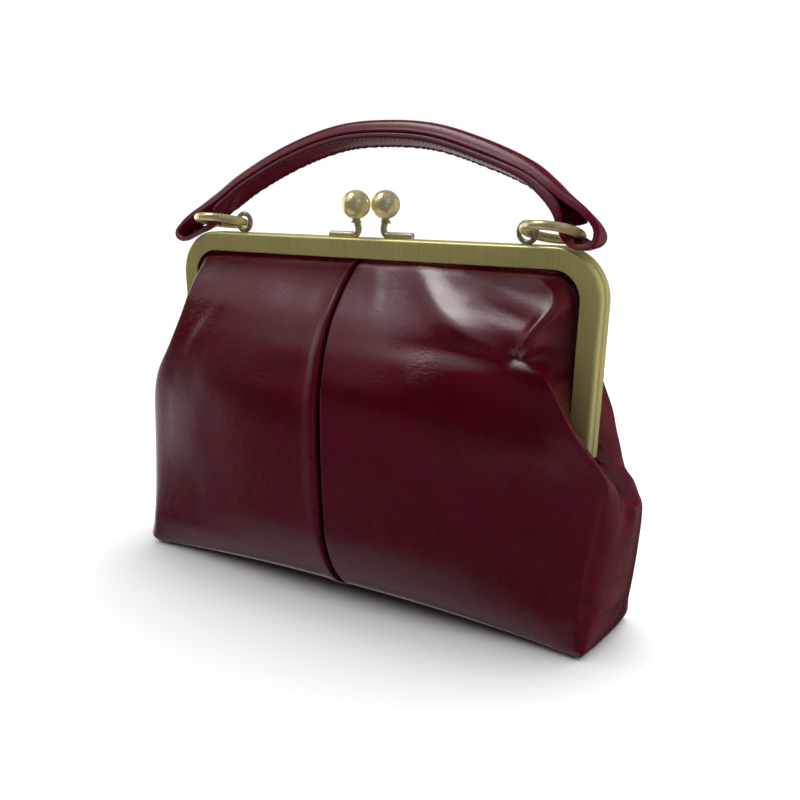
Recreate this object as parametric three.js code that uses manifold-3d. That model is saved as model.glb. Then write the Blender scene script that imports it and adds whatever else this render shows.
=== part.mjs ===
// A leather frame bag: a hollow burgundy leather body hung in a two-part brass frame, with a
// kiss-lock of two balls, and a padded strap handle on two rings.
// Millimetres. +X is the bag's right, -Y its front, +Z up. The origin is on the floor below the
// middle of the frame.
import * as THREE from 'three';
import { mergeVertices } from 'three/addons/utils/BufferGeometryUtils.js';
import Module from 'manifold-3d';

const wasm = await Module();
wasm.setup();

// Frame sizes
const frameTop = 199.3;
const frameWidth = 284;
const frameFace = 11.2;
const frameHalfDepth = 6.25;
const frameCorner = 26;
const frameEdgeRound = 1.5;
const legLean = THREE.MathUtils.degToRad(3);
const legFoot = 94;
const plate = 1.1;
const fit = 0.3;

// Hinge sizes
const hingeDrop = 6;
const lugRadius = 4.4;
const rivetRadius = 1.5;
const rivetHeadRadius = 2.8;
const rivetHeadDepth = 1.1;

// Leather body sizes
const leather = 2.0;
const bellyDepth = 46.2;
const sideSpread = 22.3;
const seamDrift = 8.5;
const rimDepth = 3;
const lipDrop = 0.6;
const rimEase = 0.1;
const footLift = 7;
const footClear = 0.6;
const hingeClear = 2.25;
const footEase = 0.8;
const footBulge = 3.5;
const seamEase = 1.2;
const sideRound = 5;

// Clasp sizes
const ballRadius = 8;
const ballHeight = 18.1;
const ballApart = 13.8;
const ballCross = 8.8;
const rodRadius = 1.6;
const rodReach = 26;
const rodApart = 12.8;
const rodCross = 6;
const collarRadius = 3;
const collarDepth = 1.4;
const solderSink = 0.4;

// Eyelet and ring sizes
const eyeletWire = 1.35;
const eyeletHole = 3.7;
const eyeletInset = 45;
const eyeletBack = 1.9;
const ringWire = 2.4;
const ringOuter = 17.25;
// How each ring hangs: angles in degrees, and play as a share of its slack in the eyelet
const ringHang = {
  left: { tilt: 12, swing: 22, sag: 1, low: 35, play: 0.35 },
  right: { tilt: 17, swing: 8, sag: 0, low: 10, play: 0.7 },
};

// Handle sizes
const handleLean = THREE.MathUtils.degToRad(22);
const handleWidth = 14;
const handleRise = 52.3;
const handleReach = 23;
const loopLength = 120;
const handleForward = -0.6;
const handleLift = 0.7;
const strapThick = 3.8;
const strapEdgeRound = 0.7;
const padHeight = 8.7;

const leatherRed = new THREE.MeshStandardMaterial({ color: 0x4a0d1a, roughness: 0.3, metalness: 0 });
const handleRed = new THREE.MeshStandardMaterial({ color: 0x4d0f1e, roughness: 0.35, metalness: 0 });
const brushedBrass = new THREE.MeshStandardMaterial({ color: 0x8b8452, roughness: 0.35, metalness: 1 });
const wornBrass = new THREE.MeshStandardMaterial({ color: 0x8f8350, roughness: 0.3, metalness: 1 });

// Names the values of each row of a table by its columns.
function named(columns, rows) {
  return rows.map((row) => Object.fromEntries(columns.map((column, i) => [column, row[i]])));
}

// The leather body's sections on its right side, from the frame down to the floor line.
// seam_y, ridge_y and wall_y are shares of the belly depth, and each _z a share of the mouth height.
// ridge_out and wall_out are shares of the side spread, past the frame's outer edge.
// leg is the share of the way down the frame's leg. rear draws the back panel in, as a share of the
// side spread.
const legSectionsColumns = [
  'seam_y', 'seam_z', 'ridge_out', 'ridge_y', 'ridge_z', 'wall_out', 'wall_y', 'wall_z', 'leg', 'rear',
];
const legSections = named(legSectionsColumns, [
  [0.186, 0.981, -1.32, 0.24, 0.978, -0.9, 0.17, 0.975, 0.12, 0],
  [0.379, 0.909, -1.2, 0.498, 0.909, -0.86, 0.3, 0.912, 0.23, 0],
  [0.595, 0.835, -1.1, 0.671, 0.835, -0.84, 0.38, 0.838, 0.37, 0],
  [0.708, 0.782, -0.9, 0.714, 0.782, -0.8, 0.4, 0.782, 0.475, 0.07],
  [0.786, 0.739, -0.63, 0.736, 0.739, -0.68, 0.42, 0.739, 0.557, 0.22],
  [0.866, 0.67, -0.25, 0.736, 0.67, -0.48, 0.44, 0.668, 0.69, 0.4],
  [0.937, 0.601, 0.05, 0.714, 0.606, -0.24, 0.42, 0.602, 0.825, 0.45],
]);

// The sections below the frame's legs: ridge, wall, lip and side are four points from the front
// corner round to the side seam, with the same shares.
const sideSectionsColumns = [
  'seam_y', 'seam_z', 'ridge_out', 'ridge_y', 'ridge_z', 'wall_out', 'wall_y', 'wall_z', 'rear',
];
const sideSections = named(sideSectionsColumns, [
  [0.96, 0.556, 0.36, 0.628, 0.546, 0.0, 0.36, 0.552, 0.54],
  [0.976, 0.516, 0.58, 0.54, 0.51, 0.22, 0.33, 0.512, 0.58],
  [0.989, 0.468, 0.7, 0.46, 0.475, 0.5, 0.26, 0.47, 0.54],
  [0.998, 0.42, 0.7, 0.46, 0.436, 0.92, 0.26, 0.437, 0.45],
]);
const baseSectionsColumns = [
  'seam_y', 'seam_z', 'ridge_out', 'ridge_y', 'wall_out', 'wall_y', 'lip_out', 'lip_y', 'side_out',
  'z', 'rear',
];
const baseSections = named(baseSectionsColumns, [
  [1, 0.351, 0.52, 0.563, 0.86, 0.335, 0.985, 0.15, 1, 0.38, 0.2],
  [0.998, 0.223, 0.23, 0.725, 0.63, 0.487, 0.81, 0.25, 0.85, 0.223, 0.2],
  [0.877, 0.106, 0.25, 0.747, 0.54, 0.574, 0.66, 0.29, 0.66, 0.106, 0.3],
  [0.595, 0.029, 0.18, 0.714, 0.44, 0.67, 0.46, 0.325, 0.44, 0.022, 0.3],
  [0.26, 0, -0.18, 0.54, 0.2, 0.617, 0.24, 0.3, 0.22, 0, 0.2],
  [0, 0, -1.2, 0, -0.63, 0, -0.27, 0, -0.04, 0, 0],
]);

// The dents and folds that break the even form. panel is front or back, side is -1 left or 1 right.
// across and down place the middle, on the columns' 0 to 1 and in rows of the tables from the rim.
// wide and tall are the reach in the same terms, and out, forward and up are shares of the side spread.
const dentsColumns = ['panel', 'side', 'across', 'down', 'wide', 'tall', 'out', 'forward', 'up'];
const dents = named(dentsColumns, [
  ['front', 1, 0.77, 3.0, 0.15, 0.95, 0.36, -0.1, 0.02],
  ['front', 1, 0.75, 5.1, 0.14, 0.85, -0.42, -0.16, 0],
  ['front', 1, 0.45, 5.2, 0.3, 1.0, 0, -0.1, 0],
  ['front', 1, 0.5, 3.4, 0.34, 1.0, 0, 0.09, 0],
  ['front', -1, 0.8, 6, 0.22, 2.4, -0.12, 0, 0],
  ['front', -1, 0.86, 16, 0.12, 1.3, 0.14, 0.03, 0],
]);

// The centre seam: a groove beside a raised fold, as shares of the leather's thickness.
const seamProfile = [
  { across: -0.03, raised: 0.0 },
  { across: -0.012, raised: 0.55 },
  { across: 0, raised: -0.5 },
  { across: 0.012, raised: 0.1 },
  { across: 0.03, raised: 0.0 },
];

// How far the centre seam leans to the left, by height up the body, as a share of its drift.
const seamLean = [
  { height: 0, drift: 0 },
  { height: 0.1, drift: 0.05 },
  { height: 0.6, drift: 0.62 },
  { height: 0.8, drift: 0.92 },
  { height: 0.91, drift: 0.95 },
  { height: 1, drift: 0.5 },
];

const columnKnots = [0, 0.2, 0.42, 0.64, 0.76, 0.84, 0.92, 1];
const acrossSteps = [0, 0.012, 0.03, 0.1, 0.22, 0.36, 0.5, 0.62, 0.69, 0.73, 0.76, 0.8, 0.84, 0.88, 0.92, 1];
const downSteps = [0, 1, 2, 3, 4, 4.5, 5, 5.5, 6, 7, 8, 9, 10, 11, 12, 12.5, 13, 14, 15, 16, 17, 18];

const frameHalfWidth = frameWidth / 2;
const eyeletReach = frameHalfWidth - eyeletInset;
const hingeHeight = legFoot - hingeDrop;
const seamGapHalf = fit / 2;
const frameFront = seamGapHalf + frameHalfDepth;
const mouthHeight = frameTop - frameFace;
const rimY = frameFront - plate - fit - rimEase;
const cornerX = frameHalfWidth - frameCorner;
const cornerZ = frameTop - frameCorner;
const arcLength = frameCorner * (Math.PI / 2 + legLean);
const legStart = cornerX + arcLength;
const middleOfCorner = cornerX + frameCorner * Math.PI / 4;

// A point on the frame's outline, run from the top middle, at a depth in from its outer edge.
function outlinePoint(run, depth) {
  if (run < cornerX) return [run, frameTop - depth];
  const angle = Math.min((run - cornerX) / frameCorner, arcLength / frameCorner);
  const reach = frameCorner - depth;
  const past = Math.max(run - legStart, 0);
  return [
    cornerX + reach * Math.sin(angle) - past * Math.sin(legLean),
    cornerZ + reach * Math.cos(angle) - past * Math.cos(legLean),
  ];
}

// How far along the outline the leg reaches a height.
function runToHeight(height, depth) {
  const start = outlinePoint(legStart, depth)[1];
  return legStart + (start - height) / Math.cos(legLean);
}

// A smooth curve through values at rising knots, which never overshoots them.
function smoothThrough(knots, values, at) {
  const last = knots.length - 1;
  const slopes = [];
  for (let i = 0; i < last; i++) slopes.push((values[i + 1] - values[i]) / (knots[i + 1] - knots[i]));
  const tangentAt = (i) => {
    if (i === 0) return slopes[0];
    if (i === last) return slopes[last - 1];
    const before = slopes[i - 1];
    const after = slopes[i];
    return before * after <= 0 ? 0 : (2 * before * after) / (before + after);
  };
  let i = 0;
  while (i < last - 1 && at > knots[i + 1]) i++;
  const width = knots[i + 1] - knots[i];
  const t = (at - knots[i]) / width;
  const t2 = t * t;
  const t3 = t2 * t;
  return (2 * t3 - 3 * t2 + 1) * values[i] + (t3 - 2 * t2 + t) * width * tangentAt(i)
    + (3 * t2 - 2 * t3) * values[i + 1] + (t3 - t2) * width * tangentAt(i + 1);
}

// The points of one section, from the centre seam to the edge, for the right half of a front panel.
const frontShape = [
  { share: 0.3, power: 2.2 },
  { share: 0.6, power: 2.2 },
  { share: 0.86, power: 2.4 },
];

function frontColumns(seam, ridge) {
  const columns = [seam];
  for (const { share, power } of frontShape) {
    const blend = share ** power;
    columns.push([
      seam[0] + (ridge[0] - seam[0]) * share,
      seam[1] + (ridge[1] - seam[1]) * blend,
      seam[2] + (ridge[2] - seam[2]) * blend,
    ]);
  }
  columns.push(ridge);
  return columns;
}

const outX = (share) => frameHalfWidth + share * sideSpread;
const forwardY = (share) => -share * bellyDepth;
const heightZ = (share) => share * mouthHeight;

function rimRow(depth) {
  return columnKnots.map((knot) => {
    const [x, z] = outlinePoint(middleOfCorner * knot, depth);
    return [x, -rimY, z];
  });
}

function buildRows(isBack) {
  const rows = [];
  const lipDepth = frameFace + lipDrop;
  const footRun = runToHeight(legFoot + plate + fit + leather, lipDepth);
  const rearward = (section) => (isBack ? section.rear : 0);
  const seamOf = (section) => [0, forwardY(section.seam_y), heightZ(section.seam_z)];
  rows.push(rimRow(rimDepth));
  const lipRow = rimRow(lipDepth);
  const cornerRun = middleOfCorner + 0.05 * (footRun - middleOfCorner);
  const [firstX, firstZ] = outlinePoint(cornerRun, rimDepth);
  lipRow[lipRow.length - 1] = [firstX, -rimY, firstZ];
  rows.push(lipRow);
  const ridgeOf = (section, z) => [
    outX(section.ridge_out - rearward(section)), forwardY(section.ridge_y), heightZ(z),
  ];
  const wallOf = (section, z) => [
    outX(section.wall_out - 0.7 * rearward(section)), forwardY(section.wall_y), heightZ(z),
  ];
  for (const section of legSections) {
    const row = frontColumns(seamOf(section), ridgeOf(section, section.ridge_z));
    row.push(wallOf(section, section.wall_z));
    const run = middleOfCorner + section.leg * (footRun - middleOfCorner);
    const leaving = section === legSections[legSections.length - 1];
    for (const depth of leaving ? [lipDepth + leather, lipDepth + fit] : [lipDepth, rimDepth]) {
      const [x, z] = outlinePoint(run, depth);
      row.push([x, -rimY, z]);
    }
    rows.push(row);
  }
  // Round the hinge the leather leaves the channel, passes in front of the foot and joins below.
  const [footInner, footZ] = outlinePoint(footRun, lipDepth);
  const [footOuter] = outlinePoint(footRun, 0);
  const passY = frameFront + fit + leather + footClear;
  const underHinge = hingeHeight - lugRadius - leather - hingeClear;
  const edges = [
    [[footInner - seamEase, -passY, footZ + footLift], [footInner - footEase, -rimY - 1.5, footZ + footLift]],
    [[footInner + 1.5, -passY - leather, footZ], [footInner - footEase, -passY, footZ + 0.5]],
    [[footOuter + footBulge, -passY, hingeHeight + 1], [footOuter - 1, -passY, hingeHeight + leather]],
    [[outX(0.52), -sideRound, underHinge + seamEase], [outX(0.08), 0, underHinge]],
  ];
  sideSections.forEach((section, i) => {
    const row = frontColumns(seamOf(section), ridgeOf(section, section.ridge_z));
    row.push(wallOf(section, section.wall_z), ...edges[i]);
    rows.push(row);
  });
  for (const section of baseSections) {
    const row = frontColumns(seamOf(section), ridgeOf(section, section.z));
    row.push(wallOf(section, section.z));
    row.push([outX(section.lip_out - 0.25 * rearward(section)), forwardY(section.lip_y), heightZ(section.z)]);
    row.push([outX(section.side_out), 0, heightZ(section.z)]);
    rows.push(row);
  }
  return rows;
}

const rowsFor = { front: buildRows(false), back: buildRows(true) };
const rowKnots = rowsFor.front.map((row, i) => i);
const firstClosedRow = 2 + legSections.length + sideSections.length - 1;

const bump = (distance) => (Math.abs(distance) >= 1 ? 0 : (1 - distance * distance) ** 2);

// A point of the leather's outer surface. across runs from -1 left to 1 right, down in table rows.
function leatherPoint(panel, across, down) {
  const side = across < 0 ? -1 : 1;
  const reach = Math.abs(across);
  const rows = rowsFor[panel];
  const point = [0, 1, 2].map((axis) => {
    const columns = columnKnots.map((_, k) => smoothThrough(rowKnots, rows.map((row) => row[k][axis]), down));
    return smoothThrough(columnKnots, columns, reach);
  });
  for (const dent of dents) {
    if (dent.panel !== panel || dent.side !== side) continue;
    const weight = bump((reach - dent.across) / dent.wide) * bump((down - dent.down) / dent.tall);
    point[0] += weight * dent.out * sideSpread;
    point[1] -= weight * dent.forward * sideSpread;
    point[2] += weight * dent.up * sideSpread;
  }
  const upBody = THREE.MathUtils.clamp(point[2] / mouthHeight, 0, 1);
  const lean = smoothThrough(seamLean.map((row) => row.height), seamLean.map((row) => row.drift), upBody);
  const drift = seamDrift * lean * (1 - reach) ** 2;
  const mirror = panel === 'back' ? -1 : 1;
  const shift = panel === 'front' ? drift : 0;
  return new THREE.Vector3(side * point[0] - shift, mirror * point[1], point[2]);
}

function leatherNormal(panel, across, down) {
  const stepAcross = 0.01;
  const stepDown = 0.05;
  const low = Math.max(down - stepDown, 0);
  const high = Math.min(down + stepDown, rowKnots[rowKnots.length - 1]);
  const left = Math.max(across - stepAcross, -1);
  const right = Math.min(across + stepAcross, 1);
  const alongAcross = leatherPoint(panel, right, down).sub(leatherPoint(panel, left, down));
  const alongDown = leatherPoint(panel, across, high).sub(leatherPoint(panel, across, low));
  const normal = alongDown.cross(alongAcross).normalize();
  return panel === 'back' ? normal.negate() : normal;
}

function seamRaise(across, down) {
  if (Math.abs(across) > 0.03 || down < 1.5 || down > 16) return 0;
  const knots = seamProfile.map((row) => row.across);
  return leather * smoothThrough(knots, seamProfile.map((row) => row.raised), across);
}

// The side seam and the base line are shared by both panels, so their normals are set by hand.
function outerAndInner(panel, across, down) {
  const outer = leatherPoint(panel, across, down);
  const normal = leatherNormal(panel, across, down);
  const lastRow = rowKnots[rowKnots.length - 1];
  const onSideSeam = Math.abs(across) === 1 && down >= firstClosedRow;
  if (down === lastRow) normal.set(0, 0, -1);
  else if (onSideSeam) {
    const shared = leatherNormal('front', across, down);
    normal.set(shared.x, 0, shared.z).normalize();
  }
  const inner = outer.clone().addScaledVector(normal, -leather);
  if (down >= lastRow - 1) inner.z = leather;
  if (onSideSeam && down >= lastRow - 1) inner.x -= Math.sign(across) * leather;
  outer.addScaledVector(normal, seamRaise(across, down));
  return { outer, inner };
}

function closedMesh(positions, triangles) {
  const geometry = new THREE.BufferGeometry();
  geometry.setAttribute('position', new THREE.Float32BufferAttribute(positions, 3));
  geometry.setIndex(triangles);
  return mergeVertices(geometry, 1e-4);
}

// The leather body: outer and inner skins of both panels, joined round the mouth.
function leatherBody() {
  const acrossList = [...acrossSteps.slice(1).map((s) => -s).reverse(), ...acrossSteps];
  const columns = acrossList.length;
  const lastColumn = columns - 1;
  const positions = [];
  const triangles = [];
  const place = (vector) => positions.push(vector.x, vector.y, vector.z) / 3 - 1;
  const quad = (a, b, c, d, flip) => {
    if (flip) triangles.push(a, c, b, a, d, c);
    else triangles.push(a, b, c, a, c, d);
  };
  for (const panel of ['front', 'back']) {
    const skins = downSteps.map((down) => acrossList.map((across) => {
      const { outer, inner } = outerAndInner(panel, across, down);
      return [place(outer), place(inner)];
    }));
    const isBack = panel === 'back';
    for (let j = 0; j < downSteps.length - 1; j++) {
      for (let i = 0; i < lastColumn; i++) {
        const [a, b, c, d] = [skins[j][i], skins[j + 1][i], skins[j + 1][i + 1], skins[j][i + 1]];
        quad(a[0], b[0], c[0], d[0], isBack);
        quad(a[1], b[1], c[1], d[1], !isBack);
      }
      if (downSteps[j + 1] <= firstClosedRow) {
        const [left, leftNext] = [skins[j][0], skins[j + 1][0]];
        const [right, rightNext] = [skins[j][lastColumn], skins[j + 1][lastColumn]];
        quad(left[0], left[1], leftNext[1], leftNext[0], isBack);
        quad(right[0], rightNext[0], rightNext[1], right[1], isBack);
      }
    }
    for (let i = 0; i < lastColumn; i++) {
      const [here, next] = [skins[0][i], skins[0][i + 1]];
      quad(here[0], next[0], next[1], here[1], isBack);
    }
  }
  return closedMesh(positions, triangles);
}

function solidOf(geometry) {
  const plain = geometry.clone();
  plain.deleteAttribute('normal');
  plain.deleteAttribute('uv');
  const merged = mergeVertices(plain, 1e-4);
  const index = merged.index ? merged.index.array : [...Array(merged.attributes.position.count).keys()];
  return new wasm.Manifold(new wasm.Mesh({
    numProp: 3,
    vertProperties: new Float32Array(merged.attributes.position.array),
    triVerts: new Uint32Array(index),
  }));
}

function geometryOf(solid) {
  const { vertProperties, triVerts } = solid.getMesh();
  const geometry = new THREE.BufferGeometry();
  geometry.setAttribute('position', new THREE.BufferAttribute(new Float32Array(vertProperties), 3));
  geometry.setIndex(new THREE.BufferAttribute(new Uint32Array(triVerts), 1));
  return geometry;
}

// A band between two depths of the frame's outline, cut off at a height and drawn out in Y.
function outlineBand(outerDepth, innerDepth, footHeight, yLow, yHigh, edgeRound) {
  const arcSteps = 9;
  const runs = [0];
  for (let i = 0; i <= arcSteps; i++) runs.push(cornerX + (arcLength * i) / arcSteps);
  const rightSide = (depth) => {
    const points = runs.map((run) => outlinePoint(run, depth));
    points.push(outlinePoint(runToHeight(footHeight, depth), depth));
    return points;
  };
  const outer = rightSide(outerDepth);
  const inner = rightSide(innerDepth);
  const mirrored = (points) => points.slice(1).map(([x, z]) => [-x, z]);
  const loop = [
    ...mirrored(outer).reverse(), ...outer, ...inner.slice().reverse(), ...mirrored(inner),
  ];
  const shape = new THREE.Shape(loop.map(([x, z]) => new THREE.Vector2(x, z)));
  const depth = yHigh - yLow;
  const geometry = new THREE.ExtrudeGeometry(shape, edgeRound > 0
    ? {
      depth: depth - 2 * edgeRound, bevelEnabled: true, bevelThickness: edgeRound,
      bevelSize: edgeRound, bevelOffset: -edgeRound, bevelSegments: 2,
    }
    : { depth, bevelEnabled: false });
  geometry.rotateX(Math.PI / 2);
  geometry.translate(0, yHigh - edgeRound, 0);
  return geometry;
}

function cylinderAlongX(radius, xLow, xHigh, y, z, sides = 16) {
  const geometry = new THREE.CylinderGeometry(radius, radius, xHigh - xLow, sides);
  geometry.rotateZ(Math.PI / 2);
  geometry.translate((xLow + xHigh) / 2, y, z);
  return geometry;
}

// A hinge lug: a round ear below the foot, on a neck up into the half that carries it.
function hingeLug(side, way, xOuter) {
  const xInner = xOuter - plate;
  const [low, high] = side > 0 ? [xInner, xOuter] : [-xOuter, -xInner];
  const ear = solidOf(cylinderAlongX(lugRadius, low, high, 0, hingeHeight, 20));
  const neckTop = legFoot + plate / 2;
  const neck = new THREE.BoxGeometry(high - low, lugRadius - 1, neckTop - hingeHeight);
  neck.translate((low + high) / 2, way * (lugRadius + 1) / 2, (neckTop + hingeHeight) / 2);
  const hole = solidOf(cylinderAlongX(rivetRadius + fit, low - 1, high + 1, 0, hingeHeight));
  return ear.add(solidOf(neck)).subtract(hole);
}

const footOuterX = outlinePoint(runToHeight(legFoot, 0), 0)[0];
const lugOuterX = { front: footOuterX, back: footOuterX - plate - fit };

// A round bar along a path of points.
function roundBar(points, radius, steps) {
  const section = new THREE.Shape();
  section.absarc(0, 0, radius, 0, 2 * Math.PI);
  return new THREE.ExtrudeGeometry(section, {
    steps, curveSegments: 4, extrudePath: new THREE.CatmullRomCurve3(points), bevelEnabled: false,
  });
}

// One clasp ball on its bent rod, for the front half (side -1) or the back half (side 1).
function claspSolid(side) {
  const rodZ = frameTop + rodRadius - solderSink;
  const rodY = side * rodCross / 2;
  const standX = side * rodApart / 2;
  const ballCentre = new THREE.Vector3(side * ballApart / 2, side * ballCross / 2, frameTop + ballHeight);
  const bend = 2 * rodRadius;
  const foot = new THREE.Vector3(standX, rodY, rodZ + bend);
  const top = ballCentre.clone().sub(new THREE.Vector3(0, 0, ballRadius - 1));
  const path = [
    new THREE.Vector3(side * rodReach, rodY, rodZ),
    new THREE.Vector3(side * (rodReach + rodApart / 2) / 2, rodY, rodZ),
    new THREE.Vector3(standX + side * bend, rodY, rodZ),
    new THREE.Vector3(standX + side * bend * 0.3, rodY, rodZ + bend * 0.3),
    foot,
    foot.clone().lerp(top, 0.6),
    top,
  ];
  const ball = new THREE.SphereGeometry(ballRadius, 18, 12);
  ball.rotateX(Math.PI / 2);
  ball.translate(...ballCentre.toArray());
  const collar = new THREE.CylinderGeometry(collarRadius, collarRadius, collarDepth, 14);
  collar.rotateX(Math.PI / 2);
  collar.translate(top.x, top.y, ballCentre.z - ballRadius);
  return solidOf(ball).add(solidOf(collar)).add(solidOf(roundBar(path, rodRadius, 12)));
}

// An eyelet: a small wire ring standing on the frame.
function eyeletSolid(side) {
  const eyelet = new THREE.TorusGeometry(eyeletHole + eyeletWire, eyeletWire, 6, 16);
  eyelet.rotateX(Math.PI / 2);
  eyelet.translate(side * eyeletReach, eyeletBack, frameTop + eyeletHole + 2 * eyeletWire - solderSink);
  return solidOf(eyelet);
}

function frameHalf(which) {
  const way = which === 'front' ? -1 : 1;
  const near = seamGapHalf;
  const far = frameFront;
  const [yLow, yHigh] = way < 0 ? [-far, -near] : [near, far];
  const [grooveLow, grooveHigh] = [yLow + plate, yHigh - plate];
  let solid = solidOf(outlineBand(0, frameFace, legFoot, yLow, yHigh, frameEdgeRound));
  const groove = outlineBand(plate, frameFace + 2, legFoot + plate, grooveLow, grooveHigh, 0);
  solid = solid.subtract(solidOf(groove));
  for (const side of [-1, 1]) solid = solid.add(hingeLug(side, way, lugOuterX[which]));
  solid = solid.add(claspSolid(way));
  if (which === 'back') {
    for (const side of [-1, 1]) solid = solid.add(eyeletSolid(side));
  }
  return geometryOf(solid);
}

// A rivet through both lugs, with a head on each end.
function hingeRivet(side) {
  const outerFace = lugOuterX.front + fit;
  const innerFace = lugOuterX.back - plate - fit;
  const profile = [
    [0, innerFace - rivetHeadDepth], [rivetHeadRadius, innerFace - rivetHeadDepth],
    [rivetHeadRadius, innerFace], [rivetRadius, innerFace], [rivetRadius, outerFace],
    [rivetHeadRadius, outerFace], [0.8 * rivetHeadRadius, outerFace + 0.7 * rivetHeadDepth],
    [0, outerFace + rivetHeadDepth],
  ].map(([radius, height]) => new THREE.Vector2(radius, height));
  const rivet = new THREE.LatheGeometry(profile, 16);
  rivet.rotateZ(-Math.PI / 2);
  if (side < 0) rivet.rotateZ(Math.PI);
  rivet.translate(0, 0, hingeHeight);
  return rivet;
}

// The handle lies in a leaning plane: u along it, t up it and n towards the front.
const leanUp = new THREE.Vector3(0, Math.sin(handleLean), Math.cos(handleLean));
const towardFront = new THREE.Vector3(0, -Math.cos(handleLean), Math.sin(handleLean));
const ringHeight = frameTop + eyeletHole + 2 * eyeletWire - solderSink;
const handleRoot = new THREE.Vector3(0, handleForward, ringHeight + handleLift);
const handleHalf = eyeletReach + handleReach;

// Where a row of the handle's lines lies along it: shares of its half length up to the rings, and of
// the loop length past them, so the loops follow the eyelets.
const handleAlong = (share) => Math.sign(share)
  * (Math.min(Math.abs(share), 1) * handleHalf + Math.max(Math.abs(share) - 1, 0) * loopLength);

const handlePoint = (u, t, n) => handleRoot.clone()
  .add(new THREE.Vector3(u, 0, 0)).addScaledVector(leanUp, t).addScaledVector(towardFront, n);

const ringRadius = ringOuter - ringWire;
const ringSlack = eyeletHole - ringWire - fit;

// A ring hung in its eyelet, tilted up at the front, swung forward and sagging at its outer end.
function ringGeometry(side) {
  const hang = ringHang[side < 0 ? 'left' : 'right'];
  const angles = ['tilt', 'swing', 'sag', 'low'].map((key) => THREE.MathUtils.degToRad(hang[key]));
  const [tilt, swing, sag, low] = angles;
  const ring = new THREE.TorusGeometry(ringRadius, ringWire, 8, 28);
  ring.translate(side * ringRadius * Math.cos(swing), -ringRadius * Math.sin(swing), 0);
  ring.rotateX(-tilt);
  ring.rotateY(side * sag);
  const play = hang.play * ringSlack;
  ring.translate(side * (eyeletReach + play * Math.cos(low)), eyeletBack, ringHeight - play * Math.sin(low));
  return ring;
}

// The grip's run seen in the handle's plane: round the right ring, along the arch and round the left
// ring. along and rise place the side that faces the rings, as shares of the handle's half length and
// rise. thick is a share of the pad's height and wide of the handle's width. flare opens the front edge
// of a loop and closes its back edge, as a share of the thickness.
const gripLineColumns = ['along', 'rise', 'thick', 'wide', 'flare'];
const gripLine = named(gripLineColumns, [
  [1.001, 0.036, 0.32, 0.6, 0.2],
  [1.011, -0.011, 0.34, 0.58, 0.3],
  [1.043, -0.075, 0.36, 0.57, 0.45],
  [1.086, -0.109, 0.37, 0.57, 0.4],
  [1.124, -0.092, 0.39, 0.57, 0.2],
  [1.133, -0.017, 0.4, 0.57, 0],
  [1.107, 0.073, 0.38, 0.6, 0],
  [1.047, 0.172, 0.42, 0.72, 0],
  [0.96, 0.281, 0.5, 0.86, 0],
  [0.871, 0.413, 0.72, 0.95, 0],
  [0.774, 0.545, 0.86, 1, 0],
  [0.516, 0.771, 1, 1, 0],
  [0.247, 0.946, 1, 1, 0],
  [-0.003, 1.0, 1, 1, 0],
  [-0.281, 0.964, 1, 1, 0],
  [-0.556, 0.761, 1, 1, 0],
  [-0.829, 0.417, 0.95, 1, 0],
  [-0.947, 0.21, 0.8, 0.9, 0],
  [-1.033, 0.084, 0.58, 0.76, 0],
  [-1.122, -0.031, 0.42, 0.62, 0],
  [-1.167, -0.119, 0.4, 0.57, 0],
  [-1.18, -0.18, 0.38, 0.57, 0.3],
  [-1.155, -0.208, 0.36, 0.57, 0.6],
  [-1.115, -0.176, 0.34, 0.57, 0.75],
  [-1.069, -0.128, 0.3, 0.57, 0.7],
  [-1.02, -0.08, 0.28, 0.58, 0.5],
  [-0.994, -0.015, 0.3, 0.6, 0.3],
  [-0.992, 0.05, 0.32, 0.6, 0.2],
]);

// The lining's run under the arch and down inside each ring, with thick a share of the strap's.
const liningLineColumns = ['along', 'rise', 'thick', 'wide'];
const liningLine = named(liningLineColumns, [
  [0.986, 0.099, 0.72, 0.62],
  [0.97, 0.164, 0.76, 0.7],
  [0.938, 0.252, 0.82, 0.82],
  [0.88, 0.377, 0.9, 0.93],
  [0.774, 0.545, 1, 1],
  [0.516, 0.771, 1, 1],
  [0.247, 0.946, 1, 1],
  [-0.003, 1.0, 1, 1],
  [-0.281, 0.964, 1, 1],
  [-0.556, 0.761, 1, 1],
  [-0.829, 0.417, 1, 1],
  [-0.912, 0.254, 0.9, 0.92],
  [-0.961, 0.161, 0.8, 0.75],
  [-0.983, 0.099, 0.74, 0.62],
]);

// Sweeps a section of (n, height) points along one of the lines above, standing out from it.
function sweptAlong(line, stepsEach, sectionAt) {
  const points = line.map((row) => new THREE.Vector3(handleAlong(row.along), row.rise * handleRise, 0));
  const curve = new THREE.CatmullRomCurve3(points);
  const knots = line.map((row, i) => i);
  const last = line.length - 1;
  const positions = [];
  const triangles = [];
  const stations = last * stepsEach;
  let count = 0;
  for (let i = 0; i <= stations; i++) {
    const at = i / stepsEach;
    const point = curve.getPoint(at / last);
    const tangent = curve.getTangent(at / last);
    const value = (key) => smoothThrough(knots, line.map((row) => row[key] || 0), at);
    const section = sectionAt(value('thick'), value('wide'), value('flare'));
    count = section.length;
    for (const [n, height] of section) {
      const placed = handlePoint(point.x + tangent.y * height, point.y - tangent.x * height, n);
      positions.push(placed.x, placed.y, placed.z);
    }
  }
  for (let i = 0; i < stations; i++) {
    for (let k = 0; k < count; k++) {
      const next = (k + 1) % count;
      const [a, b, c, d] = [i * count + k, i * count + next, (i + 1) * count + next, (i + 1) * count + k];
      triangles.push(a, b, c, a, c, d);
    }
  }
  const lastStart = stations * count;
  for (let k = 1; k < count - 1; k++) {
    triangles.push(0, k + 1, k);
    triangles.push(lastStart, lastStart + k, lastStart + k + 1);
  }
  return closedMesh(positions, triangles);
}

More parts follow.
